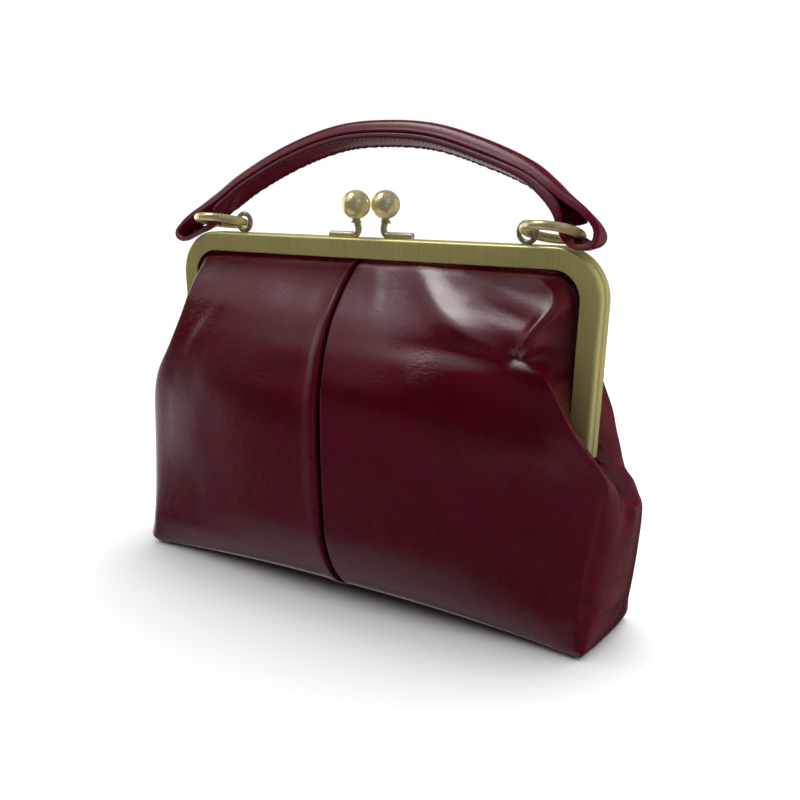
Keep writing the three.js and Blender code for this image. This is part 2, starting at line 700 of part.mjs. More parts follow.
// The padded upper layer, flat beneath and domed above, with a strap loop at each end.
function handleGrip() {
  const domeSteps = 7;
  return sweptAlong(gripLine, 2, (thick, wide, flare) => {
    const height = thick * padHeight;
    const half = wide * handleWidth / 2;
    const boxy = THREE.MathUtils.smoothstep(1 - thick, 0.1, 0.6);
    const sidePower = 1 - 0.55 * boxy;
    const topPower = 0.8 - 0.5 * boxy;
    const section = [];
    for (let k = 0; k <= domeSteps; k++) {
      const angle = (Math.PI * k) / domeSteps;
      const cosine = Math.cos(angle);
      const n = half * Math.sign(cosine) * Math.abs(cosine) ** sidePower;
      const out = height * Math.max(Math.sin(angle), 0) ** topPower;
      section.push([n, out + (flare * height * n) / half]);
    }
    return section;
  });
}

// The flat lower layer.
function handleLining() {
  const round = strapEdgeRound;
  const layerGap = 1.5 * fit;
  return sweptAlong(liningLine, 2, (thick, wide) => {
    const half = wide * handleWidth / 2;
    const depth = thick * strapThick;
    return [
      [half, -layerGap - round], [half - round, -layerGap],
      [-half + round, -layerGap], [-half, -layerGap - round],
      [-half, -depth + round], [-half + round, -depth],
      [half - round, -depth], [half, -depth + round],
    ];
  });
}

function part(name, geometry, material) {
  const mesh = new THREE.Mesh(geometry, material);
  mesh.name = name;
  return mesh;
}

const bag = new THREE.Group();
bag.add(part('leather_body', leatherBody(), leatherRed));
bag.add(part('frame_front', frameHalf('front'), brushedBrass));
bag.add(part('frame_back', frameHalf('back'), brushedBrass));
bag.add(part('hinge_rivet_left', hingeRivet(-1), wornBrass));
bag.add(part('hinge_rivet_right', hingeRivet(1), wornBrass));
bag.add(part('ring_left', ringGeometry(-1), wornBrass));
bag.add(part('ring_right', ringGeometry(1), wornBrass));
bag.add(part('handle_grip', handleGrip(), handleRed));
bag.add(part('handle_lining', handleLining(), handleRed));

export default bag;
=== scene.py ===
import math

import bmesh
import bpy
import numpy as np
from mathutils import Matrix, Vector


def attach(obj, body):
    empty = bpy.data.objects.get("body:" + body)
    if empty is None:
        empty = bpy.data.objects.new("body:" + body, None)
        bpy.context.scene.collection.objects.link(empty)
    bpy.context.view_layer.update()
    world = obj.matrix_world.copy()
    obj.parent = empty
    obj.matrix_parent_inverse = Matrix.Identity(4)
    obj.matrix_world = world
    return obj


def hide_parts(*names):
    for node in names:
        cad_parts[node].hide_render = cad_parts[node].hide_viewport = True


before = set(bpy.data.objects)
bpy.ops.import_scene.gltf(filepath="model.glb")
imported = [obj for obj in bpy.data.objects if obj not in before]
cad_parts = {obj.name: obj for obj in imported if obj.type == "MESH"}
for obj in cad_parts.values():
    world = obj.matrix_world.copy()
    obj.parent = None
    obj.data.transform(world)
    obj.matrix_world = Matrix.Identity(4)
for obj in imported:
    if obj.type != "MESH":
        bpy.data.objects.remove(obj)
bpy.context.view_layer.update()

MM = 0.001

# Frame sizes, in millimetres
FRAME_TOP = 199.3
FRAME_HALF = 142.0
FRAME_FACE = 11.2
FRAME_CORNER = 26.0
FRAME_FRONT = 6.4
SEAM_GAP = 0.15
PLATE = 1.1
FIT = 0.3
LEG_LEAN = math.radians(3)
LEG_FOOT = 94.0
HINGE_Z = 88.0
LUG_RADIUS = 4.4

# Leather sizes
LEATHER = 2.0
BELLY = 46.2
SIDE_SPREAD = 22.3
SEAM_DRIFT = 8.5
MOUTH = FRAME_TOP - FRAME_FACE
RIM_Y = FRAME_FRONT - PLATE - FIT - 0.1

# Clasp, eyelet and ring sizes
BALL_RADIUS = 8.0
BALL_Z = FRAME_TOP + 18.1
ROD_RADIUS = 1.9
EYELET_WIRE = 1.35
EYELET_HOLE = 3.7
EYELET_X = 97.0
EYELET_Y = 1.9
EYELET_Z = FRAME_TOP + EYELET_HOLE + 2 * EYELET_WIRE - 0.4
RING_WIRE = 2.4
RING_RADIUS = 14.4

# Handle sizes
HANDLE_LEAN = math.radians(22)
HANDLE_WIDTH = 14.0
HANDLE_RISE = 52.3
HANDLE_HALF = 120.0
HANDLE_Y = -0.6
HANDLE_Z = EYELET_Z + 0.7
STRAP_THICK = 3.8
PAD_HEIGHT = 8.7


# Shader helpers


class Value:
    """A shader value whose operators add Math nodes."""

    def __init__(self, finish, socket):
        self.finish = finish
        self.socket = socket

    def math(self, operation, *others):
        """Puts this value through a Math node, with the others as its further inputs."""
        return self.finish.add("ShaderNodeMath", {"operation": operation}, dict(enumerate((self, *others))))

    def __add__(self, other):
        return self.math("ADD", other)

    __radd__ = __add__

    def __sub__(self, other):
        return self.math("SUBTRACT", other)

    def __rsub__(self, other):
        return self.finish.add("ShaderNodeMath", {"operation": "SUBTRACT"}, {0: other, 1: self})

    def __mul__(self, other):
        return self.math("MULTIPLY", other)

    __rmul__ = __mul__

    def between(self, low, high):
        """Rises smoothly from 0 at low to 1 at high."""
        settings = {"interpolation_type": "SMOOTHSTEP"}
        return self.finish.add("ShaderNodeMapRange", settings, {0: self, 1: low, 2: high, 3: 0.0, 4: 1.0})


class Finish:
    """A material or world under construction."""

    def __init__(self, owner):
        self.owner = owner
        owner.use_nodes = True
        self.tree = owner.node_tree
        self.tree.nodes.clear()

    def add(self, kind, settings=None, inputs=None, output=0):
        """Adds a node, sets it, links or fills its sockets, and returns one output as a Value."""
        node = self.tree.nodes.new(kind)
        for key, value in (settings or {}).items():
            setattr(node, key, value)
        for key, value in (inputs or {}).items():
            if isinstance(value, Value):
                self.tree.links.new(value.socket, node.inputs[key])
            else:
                node.inputs[key].default_value = value
        return Value(self, node.outputs[output]) if len(node.outputs) else None

    def place(self, scale=(1, 1, 1), turn=(0, 0, 0)):
        """Object coordinates in metres, scaled and turned."""
        spot = self.add("ShaderNodeTexCoord", output="Object")
        return self.add("ShaderNodeMapping", None, {"Vector": spot, "Scale": scale, "Rotation": turn})

    def noise(self, vector, scale, detail, rough=0.5, distort=0.0):
        """A noise value, whose scale is in cells a metre."""
        inputs = {"Vector": vector, "Scale": scale, "Detail": detail}
        return self.add("ShaderNodeTexNoise", None, {**inputs, "Roughness": rough, "Distortion": distort})

    def blend(self, amount, first, second):
        """Mixes two colours by an amount."""
        return self.add("ShaderNodeMix", {"data_type": "RGBA"}, {0: amount, 6: first, 7: second}, output=2)

    def bump(self, height, depth, strength, under=None):
        """A normal from a height, over the normal under it."""
        inputs = {"Height": height, "Distance": depth, "Strength": strength}
        if under:
            inputs["Normal"] = under
        return self.add("ShaderNodeBump", None, inputs)

    def close(self, inputs):
        """Ends a material with one Principled shader."""
        shader = self.add("ShaderNodeBsdfPrincipled", None, inputs)
        self.add("ShaderNodeOutputMaterial", None, {"Surface": shader})
        return self.owner


def rgb(red, green, blue):
    return (red, green, blue, 1.0)


# Finishes


# The body leather's painted shade: the range of polish over which it stops being dull and painted darker,
# the middle and reach of its painted seam shade across the panels, and where across and down them
# painted shade lies beside the legs
DULL_POLISH = (0.05, 0.5)
DULL_SHADE = 0.75
SEAM_MIDDLE = 0.0025
SEAM_REACH = (0.003, 0.009)
SEAM_SHADE_COLOUR = (0.004, 0.0, 0.001)
RECESS_ACROSS = (0.8, 0.93)
RECESS_DOWN = (0.42, 0.52)
RECESS_SHADE = 0.75
# How much the creased attribute adds to the crinkled patches
CREASE_GAIN = 2.2


def shaded_leather(finish, colour, base, polish):
    """The body's leather colour, with painted shade where it is dull, in its centre seam groove and beside
    the legs.
    """
    spread = finish.add("ShaderNodeTexCoord", output="UV")
    across = finish.add("ShaderNodeSeparateXYZ", None, {0: spread})
    down = finish.add("ShaderNodeSeparateXYZ", None, {0: spread}, output=1)
    # Painted shade: the colour is darkened where the polish is low
    dull_painted_shade = (1.0 - polish.between(*DULL_POLISH)) * DULL_SHADE
    colour = finish.blend(dull_painted_shade, colour, rgb(base[0] * 0.58, base[1] * 0.3, base[2] * 0.4))
    # Painted shade: a near-black line along the centre seam's groove
    groove_shade = 1.0 - (across - SEAM_MIDDLE).math("ABSOLUTE").between(*SEAM_REACH)
    # Painted shade in the recess beside the legs, fading out down the panel
    beside = across.math("ABSOLUTE").between(*RECESS_ACROSS)
    recess_shade = beside * (1.0 - down.between(*RECESS_DOWN)) * RECESS_SHADE
    return finish.blend(groove_shade.math("MAXIMUM", recess_shade), colour, rgb(*SEAM_SHADE_COLOUR))


def leather_finish(name, base, rough, seamed=False):
    """Creased glossy burgundy leather: fine grain, crinkled patches, soft ripples and a little colour drift.

    The seamed leather is the body's, whose polish attribute mixes a worn and a shiny surface.
    """
    finish = Finish(bpy.data.materials.new(name))
    spot = finish.place()
    drift = finish.noise(spot, 14.0, 3.0).between(0.35, 0.7)
    fine = finish.noise(spot, 60.0, 3.0).between(0.35, 0.7)
    colour = finish.blend(drift, rgb(*base), rgb(base[0] * 0.8, base[1] * 0.6, base[2] * 0.65))
    colour = finish.blend(fine * 0.3, colour, rgb(base[0] * 1.2, base[1] * 1.5, base[2] * 1.3))
    grain = finish.noise(spot, 1000.0, 3.0, 0.65)
    patches = finish.noise(spot, 16.0, 2.0).between(0.4, 0.8)
    if seamed:
        polish = finish.add("ShaderNodeAttribute", {"attribute_name": "polish"}, output="Fac")
        creased = finish.add("ShaderNodeAttribute", {"attribute_name": "creased"}, output="Fac")
        # Painted shade: darker where dull, in the seam groove and beside the legs
        colour = shaded_leather(finish, colour, base, polish)
        patches = patches + creased * CREASE_GAIN
    crinkle = finish.noise(finish.place((1.0, 1.0, 2.2)), 210.0, 4.0, 0.6, 0.8) * patches
    ripple = finish.noise(spot, 30.0, 3.0, 0.5, 0.4)
    bump = finish.bump(ripple, 0.0012, 0.3)
    bump = finish.bump(crinkle, 0.0008, 0.45, bump)
    bump = finish.bump(grain, 0.00018, 0.6, bump)
    gloss = finish.noise(spot, 90.0, 3.0) * 0.12 + (rough - 0.06)
    surface = {"Base Color": colour, "Roughness": gloss, "Normal": bump}
    if not seamed:
        coat = {"Coat Weight": 0.14, "Coat Roughness": 0.1, "Coat IOR": 1.5}
        return finish.close({**surface, **coat, "IOR": 1.5, "Specular IOR Level": 0.4})
    coat = {"Coat Weight": 0.2, "Coat Roughness": 0.14}
    worn = {**surface, "Specular IOR Level": 0.07}
    shiny = {**surface, **coat, "Specular IOR Level": 1.0}
    worn = finish.add("ShaderNodeBsdfPrincipled", None, worn)
    shiny = finish.add("ShaderNodeBsdfPrincipled", None, shiny)
    mixed = finish.add("ShaderNodeMixShader", None, {0: polish, 1: worn, 2: shiny})
    finish.add("ShaderNodeOutputMaterial", None, {"Surface": mixed})
    return finish.owner


# The heights in metres between which the frame's brass grows darker towards its feet
LOW_DARKENING_HEIGHTS = (0.09, 0.15)


def brushed_finish():
    """Antique brass brushed upwards with fine lines, under a dull lacquer."""
    finish = Finish(bpy.data.materials.new("brushed_brass"))
    lines = finish.noise(finish.place((1.0, 1.0, 0.02)), 2400.0, 2.0, 0.6)
    strokes = finish.noise(finish.place((1.0, 1.0, 0.04)), 900.0, 3.0, 0.6)
    patch = finish.noise(finish.place(), 22.0, 3.0)
    colour = finish.blend(strokes.between(0.3, 0.72), rgb(0.6, 0.53, 0.195), rgb(0.68, 0.6, 0.24))
    colour = finish.blend(lines.between(0.4, 0.75) * 0.25, colour, rgb(0.8, 0.72, 0.33))
    colour = finish.blend(patch.between(0.5, 0.8) * 0.3, colour, rgb(0.46, 0.42, 0.2))
    spot = finish.add("ShaderNodeTexCoord", output="Object")
    height = finish.add("ShaderNodeSeparateXYZ", None, {0: spot}, output=2)
    # The brass grows darker towards the feet
    darker_low = (1.0 - height.between(*LOW_DARKENING_HEIGHTS)) * 0.55
    colour = finish.blend(darker_low * (strokes * 0.8 + 0.4), colour, rgb(0.34, 0.29, 0.12))
    bump = finish.bump(lines, 0.000006, 0.4)
    rough = strokes * 0.08 + 0.27
    return finish.close({
        "Base Color": colour, "Roughness": rough, "Metallic": 0.62, "Normal": bump, "IOR": 1.5,
    })


def worn_finish(name, brass, grey, amount, stretch=(1, 1, 1), turn=(0, 0, 0)):
    """Mottled antique brass with grey patches where the plating has worn."""
    finish = Finish(bpy.data.materials.new(name))
    spot = finish.place(stretch, turn)
    patch = finish.noise(spot, 62.0, 2.0, 0.5, 0.8).between(amount - 0.1, amount + 0.12)
    cloud = finish.noise(finish.place(), 130.0, 3.0).between(0.35, 0.75)
    speck = finish.noise(finish.place(), 700.0, 2.0)
    colour = finish.blend(cloud * 0.5, rgb(*brass), rgb(brass[0] * 0.6, brass[1] * 0.58, brass[2] * 0.55))
    colour = finish.blend(patch * 0.8, colour, rgb(*grey))
    rough = patch * 0.08 + cloud * 0.1 + 0.2
    bump = finish.bump(speck, 0.00003, 0.4)
    return finish.close({"Base Color": colour, "Roughness": rough, "Metallic": 0.7, "Normal": bump})


def plain_finish(name, colour, rough):
    """One even colour with a fine rough surface."""
    finish = Finish(bpy.data.materials.new(name))
    speck = finish.noise(finish.place(), 900.0, 2.0)
    bump = finish.bump(speck, 0.0001, 0.5)
    return finish.close({"Base Color": rgb(*colour), "Roughness": rough, "Normal": bump})


body_leather = leather_finish("body_leather", (0.082, 0.0006, 0.0088), 0.27, seamed=True)
handle_leather = leather_finish("handle_leather", (0.094, 0.0006, 0.0098), 0.16)
lining_leather = leather_finish("lining_leather", (0.075, 0.0012, 0.009), 0.28)
brushed_brass = brushed_finish()
ball_brass = worn_finish("ball_brass", (0.95, 0.84, 0.42), (0.72, 0.7, 0.6), 0.56, (1, 1, 0.6), (0, 0.6, 0))
ring_brass = worn_finish("ring_brass", (0.8, 0.68, 0.34), (0.62, 0.58, 0.42), 0.66)
rod_brass = worn_finish("rod_brass", (0.66, 0.57, 0.3), (0.58, 0.56, 0.48), 0.52)
eyelet_brass = worn_finish("eyelet_brass", (0.38, 0.34, 0.22), (0.34, 0.33, 0.29), 0.46)
stitch_thread = plain_finish("stitch_thread", (0.012, 0.004, 0.006), 0.7)
floor_paper = plain_finish("floor_paper", (0.72, 0.72, 0.72), 0.9)


# Mesh helpers


def linked(name, data):
    """A new object in the scene."""
    made = bpy.data.objects.new(name, data)
    bpy.context.scene.collection.objects.link(made)
    return made


def mesh_object(bm, name, materials):
    """Turns a bmesh in millimetres into a named object in metres."""
    bmesh.ops.scale(bm, vec=(MM, MM, MM), verts=bm.verts)
    mesh = bpy.data.meshes.new(name)
    bm.to_mesh(mesh)
    bm.free()
    for material in materials:
        mesh.materials.append(material)
    return linked(name, mesh)


def finish_piece(bm, name, materials, stands_for=()):
    """Turns a bmesh into a smooth piece that rides on the root body."""
    piece = mesh_object(bm, name, materials)
    for face in piece.data.polygons:
        face.use_smooth = True
    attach(piece, "root")
    if stands_for:
        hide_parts(*stands_for)
    return piece


def edges_of(verts):
    """The edges that meet at any of the vertices."""
    return list({edge for vertex in verts for edge in vertex.link_edges})


def grid_place(vertex, wide, tall):
    """A vertex's column and row in a new grid."""
    return round((vertex.co.x + 1) / 2 * wide), round((vertex.co.y + 1) / 2 * tall)


def painted(bm, before, index):
    """Gives every face that is not in before a material index."""
    for face in bm.faces:
        if face not in before:
            face.material_index = index


def cubic_curve(knots, at, values, slopes):
    """Values at places along the cubic pieces between rising knots."""
    index = np.clip(np.searchsorted(knots, at, side="right") - 1, 0, len(knots) - 2)
    column = (-1,) + (1,) * (values.ndim - 1)
    width = (knots[index + 1] - knots[index]).reshape(column)
    t = (at - knots[index]).reshape(column) / width
    return (
        (2 * t**3 - 3 * t**2 + 1) * values[index]
        + (t**3 - 2 * t**2 + t) * width * slopes[index]
        + (3 * t**2 - 2 * t**3) * values[index + 1]
        + (t**3 - t**2) * width * slopes[index + 1]
    )


def smooth_through(knots, values, at):
    """A curve through rows of values at rising knots, which never overshoots them."""
    knots = np.asarray(knots, float)
    values = np.asarray(values, float)
    at = np.clip(np.asarray(at, float), knots[0], knots[-1])
    slopes = np.diff(values, axis=0) / np.diff(knots).reshape((-1,) + (1,) * (values.ndim - 1))
    tangents = np.zeros_like(values)
    tangents[0] = slopes[0]
    tangents[-1] = slopes[-1]
    before, after = slopes[:-1], slopes[1:]
    same = before * after > 0
    total = np.where(same, before + after, 1.0)
    tangents[1:-1] = np.where(same, 2 * before * after / total, 0.0)
    return cubic_curve(knots, at, values, tangents)


def curve_between(before, start, end, after, t):
    """A point a share t of the way from start to end, on a smooth curve through all four."""
    return 0.5 * (
        2 * start + (end - before) * t
        + (2 * before - 5 * start + 4 * end - after) * t**2
        + (3 * start - before - 3 * end + after) * t**3
    )


def run_lengths(points, power=1):
    """How far along a line each of its points lies, with each step raised to a power."""
    return np.concatenate([[0], np.cumsum(np.linalg.norm(np.diff(points, axis=0), axis=1) ** power)])


def dent_weight(distance):
    """1 in the middle of a dent, and 0 from a distance of 1."""
    near = np.clip(1 - distance**2, 0, None)
    return near**2


# Leather body


CORNER_X = FRAME_HALF - FRAME_CORNER
CORNER_Z = FRAME_TOP - FRAME_CORNER
ARC = FRAME_CORNER * (math.pi / 2 + LEG_LEAN)
LEG_START = CORNER_X + ARC
MID_CORNER = CORNER_X + FRAME_CORNER * math.pi / 4


def outline_point(run, depth):
    """A point on the frame's outline, run from its top middle, at a depth in from its outer edge."""
    if run < CORNER_X:
        return run, FRAME_TOP - depth
    angle = min((run - CORNER_X) / FRAME_CORNER, ARC / FRAME_CORNER)
    reach = FRAME_CORNER - depth
    past = max(run - LEG_START, 0.0)
    x = CORNER_X + reach * math.sin(angle) - past * math.sin(LEG_LEAN)
    z = CORNER_Z + reach * math.cos(angle) - past * math.cos(LEG_LEAN)
    return x, z


def run_to_height(height, depth):
    """How far along the outline a height on the leg is reached."""
    return LEG_START + (outline_point(LEG_START, depth)[1] - height) / math.cos(LEG_LEAN)


# Sections beside the frame's legs. seam_y, ridge_y and wall_y are shares of the belly, and each _z
# of the mouth height. ridge_out and wall_out are shares of the side spread past the frame. leg is
# the share of the way down the leg, and rear draws the back panel in.
SECTION_COLUMNS = (
    "seam_y", "seam_z", "ridge_out", "ridge_y", "ridge_z", "wall_out", "wall_y", "wall_z", "leg", "rear",
)
LEG_SECTIONS = [
    (0.186, 0.981, -1.32, 0.24, 0.978, -0.9, 0.17, 0.975, 0.12, 0),
    (0.379, 0.909, -1.2, 0.498, 0.909, -0.86, 0.3, 0.912, 0.23, 0),
    (0.595, 0.835, -1.1, 0.671, 0.835, -0.84, 0.38, 0.838, 0.37, 0),
    (0.708, 0.782, -0.9, 0.714, 0.782, -0.8, 0.4, 0.782, 0.475, 0.07),
    (0.786, 0.739, -0.63, 0.736, 0.739, -0.68, 0.42, 0.739, 0.557, 0.22),
    (0.866, 0.67, -0.25, 0.736, 0.67, -0.48, 0.44, 0.668, 0.69, 0.4),
    (0.937, 0.601, 0.05, 0.714, 0.606, -0.24, 0.42, 0.602, 0.825, 0.45),
]
SIDE_SECTIONS = [
    (0.96, 0.556, 0.36, 0.628, 0.546, 0.0, 0.36, 0.552, None, 0.54),
    (0.976, 0.516, 0.58, 0.54, 0.51, 0.22, 0.33, 0.512, None, 0.58),
    (0.989, 0.468, 0.7, 0.46, 0.475, 0.5, 0.26, 0.47, None, 0.54),
    (0.998, 0.42, 0.7, 0.46, 0.436, 0.92, 0.26, 0.437, None, 0.45),
]
# Sections of the base. All but the seam share the height z.
BASE_COLUMNS = (
    "seam_y", "seam_z", "ridge_out", "ridge_y", "wall_out", "wall_y", "lip_out", "lip_y", "side_out",
    "z", "rear",
)
BASE_SECTIONS = [
    (1, 0.351, 0.52, 0.563, 0.86, 0.335, 0.985, 0.15, 1, 0.38, 0.2),
    (0.998, 0.223, 0.23, 0.725, 0.63, 0.487, 0.81, 0.25, 0.85, 0.223, 0.2),
    (0.877, 0.106, 0.25, 0.747, 0.54, 0.574, 0.66, 0.29, 0.66, 0.106, 0.3),
    (0.595, 0.029, 0.18, 0.714, 0.44, 0.67, 0.46, 0.325, 0.44, 0.022, 0.3),
    (0.26, 0, -0.18, 0.54, 0.2, 0.617, 0.24, 0.3, 0.22, 0, 0.2),
    (0, 0, -1.2, 0, -0.63, 0, -0.27, 0, -0.04, 0, 0),
]
# Where the sections' columns lie across a panel, from its seam at 0 to its side at 1
COLUMN_KNOTS = [0, 0.2, 0.42, 0.64, 0.76, 0.84, 0.92, 1]
# The columns between seam and ridge: the share of the way, and the power that curves them
FRONT_SHAPE = [(0.3, 2.2), (0.6, 2.2), (0.86, 2.4)]
# How far the front's seam leans over, by the share of the mouth height
SEAM_LEAN = [(0, 0), (0.1, 0.05), (0.6, 0.62), (0.8, 0.92), (0.91, 0.95), (1, 0.5)]
# The leather's rim and lip: depths in from the frame's outer edge
RIM_DEPTH = 3.0
LIP_DEPTH = FRAME_FACE + 0.6

# Where the front is evened out along its rows: side, how many rows each way, and the places across
# and down where that starts, is full, is still full and ends
EVENED = [
    (-1, 2.4, (0.1, 0.5, 0.8, 0.9), (3, 6, 13, 15)),
    (1, 1.3, (0.45, 0.6, 0.86, 0.95), (7.5, 9, 14, 16)),
]
EVEN_STEPS = 9
RISE_AND_FALL = (0, 1, 1, 0)

# Dents of the front: side, across, down, wide, tall, and out, forward and up as shares of the side spread
DENTS = [
    (1, 0.77, 3.0, 0.15, 0.95, 0.36, -0.1, 0.02),
    (1, 0.75, 5.1, 0.14, 0.85, -0.42, -0.16, 0),
    (1, 0.45, 5.2, 0.3, 1.0, 0, -0.1, 0),
    (1, 0.5, 3.4, 0.34, 1.0, 0, 0.09, 0),
    (-1, 0.8, 6, 0.22, 2.4, -0.12, 0, 0),
    (-1, 0.86, 16, 0.12, 1.3, 0.14, 0.03, 0),
]


def out_x(share):
    """X at a share of the side spread past the frame."""
    return FRAME_HALF + share * SIDE_SPREAD


def rim_row(depth):
    """A row of points under the frame's face and round its corner, at a depth."""
    spots = [outline_point(MID_CORNER * knot, depth) for knot in COLUMN_KNOTS]
    return [(x, -RIM_Y, z) for x, z in spots]


def front_columns(seam, ridge):
    """The points from the seam to the ridge."""
    columns = [seam]
    for share, power in FRONT_SHAPE:
        blend = share**power
        columns.append((
            seam[0] + (ridge[0] - seam[0]) * share,
            seam[1] + (ridge[1] - seam[1]) * blend,
            seam[2] + (ridge[2] - seam[2]) * blend,
        ))
    return columns + [ridge]


def build_rows(is_back):
    """The control points of one panel's right half, a row for each section."""
    foot_run = run_to_height(LEG_FOOT + PLATE + FIT + LEATHER, LIP_DEPTH)
    lip = rim_row(LIP_DEPTH)
    first = outline_point(MID_CORNER + 0.05 * (foot_run - MID_CORNER), RIM_DEPTH)
    lip[-1] = (first[0], -RIM_Y, first[1])
    rows = [rim_row(RIM_DEPTH), lip]

    def front_and_wall(section):
        rear = section["rear"] if is_back else 0
        ridge_x, wall_x = out_x(section["ridge_out"] - rear), out_x(section["wall_out"] - 0.7 * rear)
        seam = (0, -section["seam_y"] * BELLY, section["seam_z"] * MOUTH)
        ridge = (ridge_x, -section["ridge_y"] * BELLY, section["ridge_z"] * MOUTH)
        wall = (wall_x, -section["wall_y"] * BELLY, section["wall_z"] * MOUTH)
        return front_columns(seam, ridge) + [wall]

    for place, values in enumerate(LEG_SECTIONS):
        section = dict(zip(SECTION_COLUMNS, values))
        row = front_and_wall(section)
        run = MID_CORNER + section["leg"] * (foot_run - MID_CORNER)
        leaving = place == len(LEG_SECTIONS) - 1
        for depth in (LIP_DEPTH + LEATHER, LIP_DEPTH + FIT) if leaving else (LIP_DEPTH, RIM_DEPTH):
            x, z = outline_point(run, depth)
            row.append((x, -RIM_Y, z))
        rows.append(row)
    foot_inner, foot_z = outline_point(foot_run, LIP_DEPTH)
    foot_outer = outline_point(foot_run, 0)[0]
    pass_y = FRAME_FRONT + FIT + LEATHER + 0.6
    under = HINGE_Z - LUG_RADIUS - LEATHER - 2.5 * FIT - 1.5
    edges = [
        [(foot_inner - 1.2, -pass_y, foot_z + 7), (foot_inner - 0.8, -RIM_Y - 1.5, foot_z + 7)],
        [(foot_inner + 1.5, -pass_y - 2, foot_z), (foot_inner - 0.8, -pass_y, foot_z + 0.5)],
        [(foot_outer + 3.5, -pass_y, HINGE_Z + 1), (foot_outer - 1, -pass_y, HINGE_Z + 2.2)],
        [(out_x(0.52), -5, under + 1.2), (out_x(0.08), 0, under)],
    ]
    for values, ends in zip(SIDE_SECTIONS, edges):
        rows.append(front_and_wall(dict(zip(SECTION_COLUMNS, values))) + ends)
    for values in BASE_SECTIONS:
        section = dict(zip(BASE_COLUMNS, values))
        section["ridge_z"] = section["wall_z"] = section["z"]
        row = front_and_wall(section)
        lip_x = out_x(section["lip_out"] - 0.25 * (section["rear"] if is_back else 0))
        row.append((lip_x, -section["lip_y"] * BELLY, section["z"] * MOUTH))
        row.append((out_x(section["side_out"]), 0, section["z"] * MOUTH))
        rows.append(row)
    return np.array(rows)


def section_points(rows, reach, down):
    """Points at every reach across and place down the rows."""
    columns = smooth_through(np.arange(len(rows)), rows, down)
    return smooth_through(COLUMN_KNOTS, np.swapaxes(columns, 0, 1), reach)


def even_out(points, rows, reach, side, down):
    """Evens out the front where its table says, by a mean of the surface along its rows."""
    for which, spread, reach_stops, down_stops in EVENED:
        shifts = np.linspace(-spread, spread, EVEN_STEPS)
        even = np.mean([section_points(rows, reach, down + shift) for shift in shifts], axis=0)
        amount = np.interp(reach, reach_stops, RISE_AND_FALL) * (side == which)
        fade = np.interp(down, down_stops, RISE_AND_FALL)
        points += (even - points) * (amount[:, None] * fade[None, :])[..., None]


def add_dents(points, reach, side, down):
    """Moves the front's points by its dents."""
    for which, at_x, at_z, wide, tall, out, forward, up in DENTS:
        weight = dent_weight((reach - at_x) / wide)[:, None] * dent_weight((down - at_z) / tall)[None, :]
        weight = weight * (side == which)[:, None] * SIDE_SPREAD
        points[..., 0] += weight * out
        points[..., 1] -= weight * forward
        points[..., 2] += weight * up


def leather_surface(panel, across, down):
    """Points of the leather's outer surface for every across (-1 to 1) and down (table rows)."""
    rows = build_rows(panel == "back")
    reach = np.abs(across)
    side = np.where(across < 0, -1.0, 1.0)
    points = section_points(rows, reach, down)
    if panel == "front":
        even_out(points, rows, reach, side, down)
        add_dents(points, reach, side, down)
    points[..., 0] *= side[:, None]
    if panel == "front":
        lean = np.interp(np.clip(points[..., 2] / MOUTH, 0, 1), *zip(*SEAM_LEAN))
        points[..., 0] -= SEAM_DRIFT * lean * ((1 - reach) ** 2)[:, None]
    return points


def grid_normals(points):
    """Unit normals of a grid of points, outwards from the bag."""
    along = np.gradient(points, axis=0)
    downward = np.gradient(points, axis=1)
    normals = np.cross(downward, along)
    return normals / np.maximum(np.linalg.norm(normals, axis=2, keepdims=True), 1e-9)


# Folds of the front panel in its own X and Z, in millimetres: start, middle and end of the line, how
# far it reaches to each side, how high it stands, and how crisp its crest is from 0 to 1
FRONT_FOLDS = [
    ((34, 188), (66, 156), (111, 146), 9, 2.3, 1),
    ((111, 153), (113, 149), (113, 144), 4, 1.3, 0.9),
    ((125, 172), (116, 160), (114, 145), 5, 1.9, 0.9),
    ((74, 175), (98, 168), (119, 164), 6, -1.7, 0),
    ((60, 183), (92, 177), (123, 171), 6, 0.9, 0.8),
    ((110, 141), (80, 138), (46, 126), 30, 2.0, 0.6),
    ((46, 126), (14, 120), (-8, 122), 18, 1.2, 0.4),
    ((114, 142), (122, 128), (136, 108), 5, 0.6, 0.6),
    ((113, 144), (124, 143), (131, 134), 4, 0.5, 0.8),
    ((122, 142), (127, 140), (127, 134), 2.6, -1.4, 0.5),
    ((118, 186), (122, 178), (125, 171), 2.4, 0.9, 0.6),
    ((9, 186), (16, 174), (18, 160), 6, 0.7, 0.1),
    ((-84, 168), (-98, 154), (-110, 132), 5, 0.5, 0.4),
    ((-92, 160), (-106, 150), (-120, 132), 6, -0.6, 0.1),
    ((-60, 180), (-52, 150), (-46, 120), 20, 0.9, 0.1),
    ((-20, 178), (-16, 150), (-18, 120), 9, -0.6, 0),
    ((-108, 120), (-70, 112), (-24, 106), 24, 1.4, 0.2),
    ((146, 26), (156, 31), (166, 39), 4, -2.0, 0.7),
    ((142, 20), (154, 24), (164, 31), 6, 1.2, 0.3),
    ((112, 64), (128, 42), (146, 12), 12, -0.9, 0),
    ((128, 104), (146, 88), (158, 62), 9, 0.7, 0.1),
]

# Wrinkles of the back panel beside the frame's right foot, in the same columns
BACK_FOLDS = [
    ((141, 124), (147, 114), (156, 108), 2.6, 0.9, 0.5),
    ((142, 114), (149, 107), (160, 101), 2.4, -0.9, 0.4),
    ((143, 107), (150, 101), (162, 94), 2.6, 1.0, 0.6),
    ((146, 99), (152, 95), (163, 87), 2.2, -0.8, 0.4),
    ((146, 94), (154, 89), (163, 80), 2.6, 0.9, 0.6),
]

